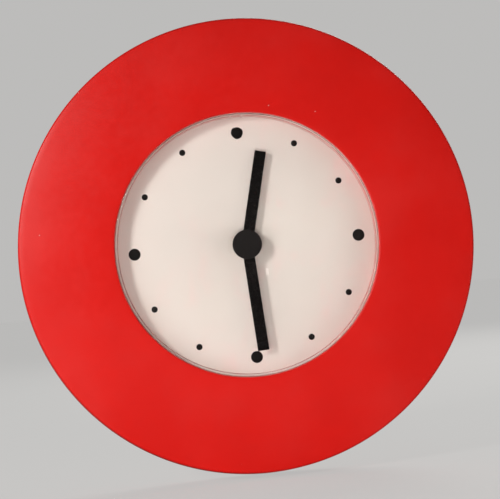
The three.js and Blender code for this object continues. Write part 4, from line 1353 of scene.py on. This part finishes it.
def board():
    left, bottom = BOARD_X - BOARD_WIDTH / 2, BOARD_Z - BOARD_LENGTH / 2
    inward, radius = 1.6, 0.7
    outline = rectangle(left, left + BOARD_WIDTH, bottom, bottom + BOARD_LENGTH, 0.6)
    body = slab("epoxy_board", outline, BOARD_REAR, BOARD_FRONT, 0.06)
    places = [(left + inward, z) for z in (bottom + inward, bottom + BOARD_LENGTH - inward)]
    return cut(body, *[
        round_bar("hole", radius, BOARD_REAR - 1, BOARD_FRONT + 1, place, segments=24)
        for place in places
    ])


def resin_drop():
    rear, radius, height, steps, fullness = BOARD_FRONT + GAP, 3.4, 1.4, 10, 0.7
    outline = [(0, rear), (radius, rear)]
    for step in range(1, steps):
        angle = step / steps * math.pi / 2
        outline.append((radius * math.cos(angle) ** fullness, rear + height * math.sin(angle)))
    outline.append((0, rear + height))
    return moved_to(turned("resin_drop", outline, 48), CHIP_PLACE)


def laid_along_x(piece, height, z):
    """Lays a piece made along the viewing direction on its side, pointing right."""
    piece.data.transform(Matrix.Rotation(math.radians(90), 4, "Z"))
    piece.data.transform(Matrix.Translation((0, -height * MM, z * MM)))
    return piece


def crystal_can():
    half, inner, lead, lead_length = 4.0, CAN_RADIUS - 0.12, 0.2, 2.2
    can = turned("crystal_can", softened([
        (0, -half, 0),
        (inner, -half, 0.5),
        (inner, half - 0.7, 0.05),
        (CAN_RADIUS, half - 0.6, 0.05),
        (CAN_RADIUS, half, 0.1),
        (0, half, 0),
    ], 4), 40)
    leads = [
        round_bar("lead", lead, half - 0.2, half + lead_length, (0, z), 0.05, 14)
        for z in (-0.5, 0.5)
    ]
    laid_along_x(joined(can, *leads), BOARD_FRONT + GAP + CAN_RADIUS, CRYSTAL_PLACE[1])
    return moved_to(can, (CRYSTAL_PLACE[0], 0))


def solder_joints():
    """Eight cones of solder on the board's back, in two staggered rows."""
    rows, columns, pitch, row_gap, stagger = 2, 4, 2.4, 3.0, 0.4
    outline = [(0, BOARD_REAR + 0.02), (0.75, BOARD_REAR + 0.02), (0.5, BOARD_REAR - 0.2),
               (0.2, BOARD_REAR - 0.5), (0, BOARD_REAR - 0.55)]
    drops = []
    for row in range(rows):
        for column in range(columns):
            x = BOARD_X - 3.6 + pitch * column
            z = BOARD_Z - 7.0 + row_gap * row + stagger * (column % 2)
            drops.append(moved_to(turned("drop", outline, 20), (x, z)))
    return gathered("solder_joints", drops)


def etched_board():
    """Green lacquer over copper tracks, which show as slightly raised and lighter lines."""
    finish = Finish("green_board", IOR=1.5)
    drifting = finish.effect(tone_drift, Colour=colour(0x1F5B34), Patches_per_metre=90.0, Amount=0.08)
    tracks = finish.add("TexVoronoi", feature="DISTANCE_TO_EDGE", Scale=330.0)
    finish.join(finish.add("TexCoord").outputs["Object"], tracks.inputs["Vector"])
    line = finish.maths("LESS_THAN", tracks.outputs["Distance"], 0.09)
    lacquered = finish.blend(line, drifting["Colour"], colour(0x3E8450))
    dirt = finish.effect(settled_dust, Specks_per_metre=900.0, Speck_cover=0.04, Film=0.04)
    finish.feed(finish.blend(dirt["Mask"], lacquered, colour(0x9A9484)), "Base Color")
    finish.gloss(0.32, (dirt["Mask"], 0.4))
    finish.relief(line, 0.6, 0.00003)
    return finish.material


black_resin = plastic(
    "black_resin", colour(0x141415), 0.28, grain=900.0, grain_depth=0.00005, drift=0.12, marks=0.3,
    specks=0.02, film=0.02)
solder = metal("solder", colour(0xBFC1C2), colour(0x8C8B86), 0.24, lines=1500.0, depth=0.00001)

fitted(board(), "root", "board_green", etched_board(), "circuit_board")
fitted(resin_drop(), "root", "chip_black", black_resin, "timing_chip")
fitted(crystal_can(), "root", "steel", zinc_steel, "quartz_crystal")
fitted(solder_joints(), "root", "steel", solder)


# ---- Battery contacts ----
# Two strips of plated spring steel at the ends of the bay. Each is pressed out towards the cell: a
# dimple for the positive end, a conical bulge for the negative end.

BATTERY_Z = -19.0
CONTACT_NEAR, CONTACT_FAR = 25.75, 26.15


def contact(name, side, tail_top, bulge_radius, bulge_height):
    """A square head with a bulge towards the cell, and a tail that runs along the bay's end."""
    rear, front = sorted((CONTACT_NEAR * side, CONTACT_FAR * side))
    half, tail_half, edge = 4.0, 1.5, 0.08
    tail = rectangle(-tail_half, tail_half, 0, tail_top - BATTERY_Z, 0.3, 3)
    body = slab(name, centred(half, half, 0.8, 4), rear, front, edge)
    joined(body, slab("tail", tail, rear, front, edge))
    near = (CONTACT_NEAR + 0.1) * side
    tip = near - (bulge_height + 0.1) * side
    dome = turned("dome", [(0, near), (bulge_radius, near), (bulge_radius * 0.85, (near * 2 + tip) / 3),
                           (bulge_radius * 0.5, (near + tip * 3) / 4), (0, tip)], 40)
    return laid_along_x(joined(body, dome), BATTERY_HEIGHT, BATTERY_Z)


spring_steel = metal("plated_spring_steel", colour(0xD0D1CE), colour(0x9B958A), 0.22, lines=5000.0)

positive = contact("positive_strip", 1, 12, 1.6, 0.2)
negative = contact("negative_strip", -1, -9, 2.6, 0.6)
fitted(positive, "root", "steel", spring_steel, "battery_contact_positive")
fitted(negative, "root", "steel", spring_steel, "battery_contact_negative")


# ---- Battery ----
# A size AA cell: a drawn steel can with a raised positive end, in a tight printed film sleeve that
# laps over both shoulders.

BATTERY_RADIUS = 7.1
CELL_START, CELL_END, NUB_END = -24.9, 24.1, 25.4
FILM = 0.12


def cell_can():
    """The steel can inside the sleeve: a dished shoulder round the raised positive end."""
    radius, nub, base = BATTERY_RADIUS - FILM - 0.03, 2.75, CELL_START + 0.35
    shoulder, seat = CELL_END - 0.2, CELL_END - 0.55
    return laid_along_x(turned("cell_can", softened([
        (0, CELL_START + 0.15, 0),
        (5.6, CELL_START + 0.15, 0.2),
        (6.0, base, 0.1),
        (radius, base, 0.5),
        (radius, shoulder, 0.6),
        (4.6, shoulder, 0.1),
        (4.3, seat, 0.1),
        (nub, seat, 0.15),
        (nub, NUB_END, 0.5),
        (0, NUB_END, 0),
    ], 4), 96), BATTERY_HEIGHT, BATTERY_Z)


def cell_sleeve():
    """The film: a thin tube that laps over both shoulders, outside and then inside."""
    inner, lap_edge, bend, inner_bend = BATTERY_RADIUS - FILM, 0.04, 0.7, 0.6
    lap = inner - 1.3
    return laid_along_x(turned("cell_sleeve", softened([
        (lap, CELL_START, lap_edge),
        (BATTERY_RADIUS, CELL_START, bend),
        (BATTERY_RADIUS, CELL_END, bend),
        (lap, CELL_END, lap_edge),
        (lap, CELL_END - FILM, lap_edge),
        (inner, CELL_END - FILM, inner_bend),
        (inner, CELL_START + FILM, inner_bend),
        (lap, CELL_START + FILM, lap_edge),
    ]), 96), BATTERY_HEIGHT, BATTERY_Z)


def printed_film():
    """Plain bands of print on shrunk film, with rubbed spots, smears and wrinkles."""
    finish = Finish("printed_film", IOR=1.5)
    along = finish.add("SeparateXYZ")
    finish.join(finish.add("TexCoord").outputs["Object"], along.inputs["Vector"])
    ground = finish.effect(tone_drift, Colour=colour(0x20242B), Patches_per_metre=70.0, Amount=0.06)
    tone = ground["Colour"]
    for start, band in ((11.5, colour(0xCFCBC0)), (12.1, colour(0xB27A3A))):
        beyond = finish.maths("GREATER_THAN", along.outputs["X"], start * MM)
        tone = finish.blend(beyond, tone, band)
    edges = finish.effect(worn_edges, Width=0.0005, Amount=0.5)
    dirt = finish.effect(settled_dust, Specks_per_metre=500.0, Speck_cover=0.02, Film=0.04)
    rubbed = finish.blend(edges["Mask"], tone, colour(0xA9A6A0))
    finish.feed(finish.blend(dirt["Mask"], rubbed, colour(0x8C8478)), "Base Color")
    smears = finish.effect(handling_marks, Marks_per_metre=60.0, Cover=0.5)
    finish.gloss(0.24, (smears["Mask"], 0.2), (dirt["Mask"], 0.3))
    wrinkle = finish.effect(moulded_grain, Grains_per_metre=420.0)
    finish.relief(wrinkle["Height"], 0.4, 0.00004)
    return finish.material


fitted(cell_sleeve(), "battery", "battery_sleeve", printed_film(), "aa_battery")
fitted(cell_can(), "battery", "steel", spring_steel)


# ---- Hands and centre cap ----
# Two plain bars stamped from thin sheet and painted gloss black, each widened round its pipe, and a
# satin black cap pressed over the end of the minute pipe.

HAND_WIDTH = 8.5
HAND_THICKNESS = 0.8
HAND_COLLAR = 6.4
HOUR_LENGTH, HOUR_REAR, HOUR_ANGLE, HOUR_HOLE = 71.0, 28.7, 13.2, 2.8
MINUTE_LENGTH, MINUTE_REAR, MINUTE_ANGLE, MINUTE_HOLE = 80.0, 30.7, 176.2, 2.0
CAP_RADIUS = 11.0


def bar_hand(name, length, rear, angle, hole):
    """A straight bar from the collar round its pipe to its tip, turned to the time shown."""
    half, steps = HAND_WIDTH / 2, 48
    join = math.asin(half / HAND_COLLAR)
    outline = [(half, length), (-half, length)]
    for step in range(steps + 1):
        bearing = -join - (2 * math.pi - 2 * join) * step / steps
        outline.append(around(math.degrees(bearing), HAND_COLLAR))
    front = rear + HAND_THICKNESS
    body = slab(name, outline, rear, front, 0.14)
    cut(body, round_bar("hole", hole, rear - 1, front + 1, segments=40))
    return turned_by(body, angle)


def centre_cap():
    """A flat disc with an eased edge, a socket for the pipe and the scar of its moulding gate."""
    rear = MINUTE_REAR + HAND_THICKNESS + GAP
    front, socket, socket_end, gate_radius = rear + 2.2, 2.0, 32.3, 0.35
    body = turned("cap_disc", softened([
        (0, socket_end, 0),
        (socket, socket_end, 0.1),
        (socket, rear, 0.1),
        (CAP_RADIUS, rear, 0.25),
        (CAP_RADIUS, front, 0.45),
        (0, front, 0),
    ]), 128)
    place = around(MINUTE_ANGLE + 4, 7.6)
    return joined(body, round_bar("gate", gate_radius, front - 0.5, front + 0.12, place, 0.1, 20))


gloss_black = plastic(
    "gloss_black_paint", colour(0x0C0807), 0.24, grain=2600.0, grain_depth=0.000008, drift=0.12,
    marks=0.5, specks=0.02, film=0.004, worn=colour(0x2A2420), wear=0.4, edge=0.0003,
    Specular_IOR_Level=0.3)
satin_black = plastic(
    "satin_black_cap", colour(0x130E0E), 0.42, grain=3200.0, grain_depth=0.00002, drift=0.08,
    marks=0.3, specks=0.01, film=0.006, worn=colour(0x3A3432), wear=0.4, edge=0.0004,
    Specular_IOR_Level=0.3)

hour_bar = bar_hand("hour_bar", HOUR_LENGTH, HOUR_REAR, HOUR_ANGLE, HOUR_HOLE)
minute_bar = bar_hand("minute_bar", MINUTE_LENGTH, MINUTE_REAR, MINUTE_ANGLE, MINUTE_HOLE)
fitted(hour_bar, "hour_train", "hand_black", gloss_black, "hour_hand")
fitted(minute_bar, "minute_train", "hand_black", gloss_black, "minute_hand")
fitted(centre_cap(), "minute_train", "cap_black", satin_black, "centre_cap")
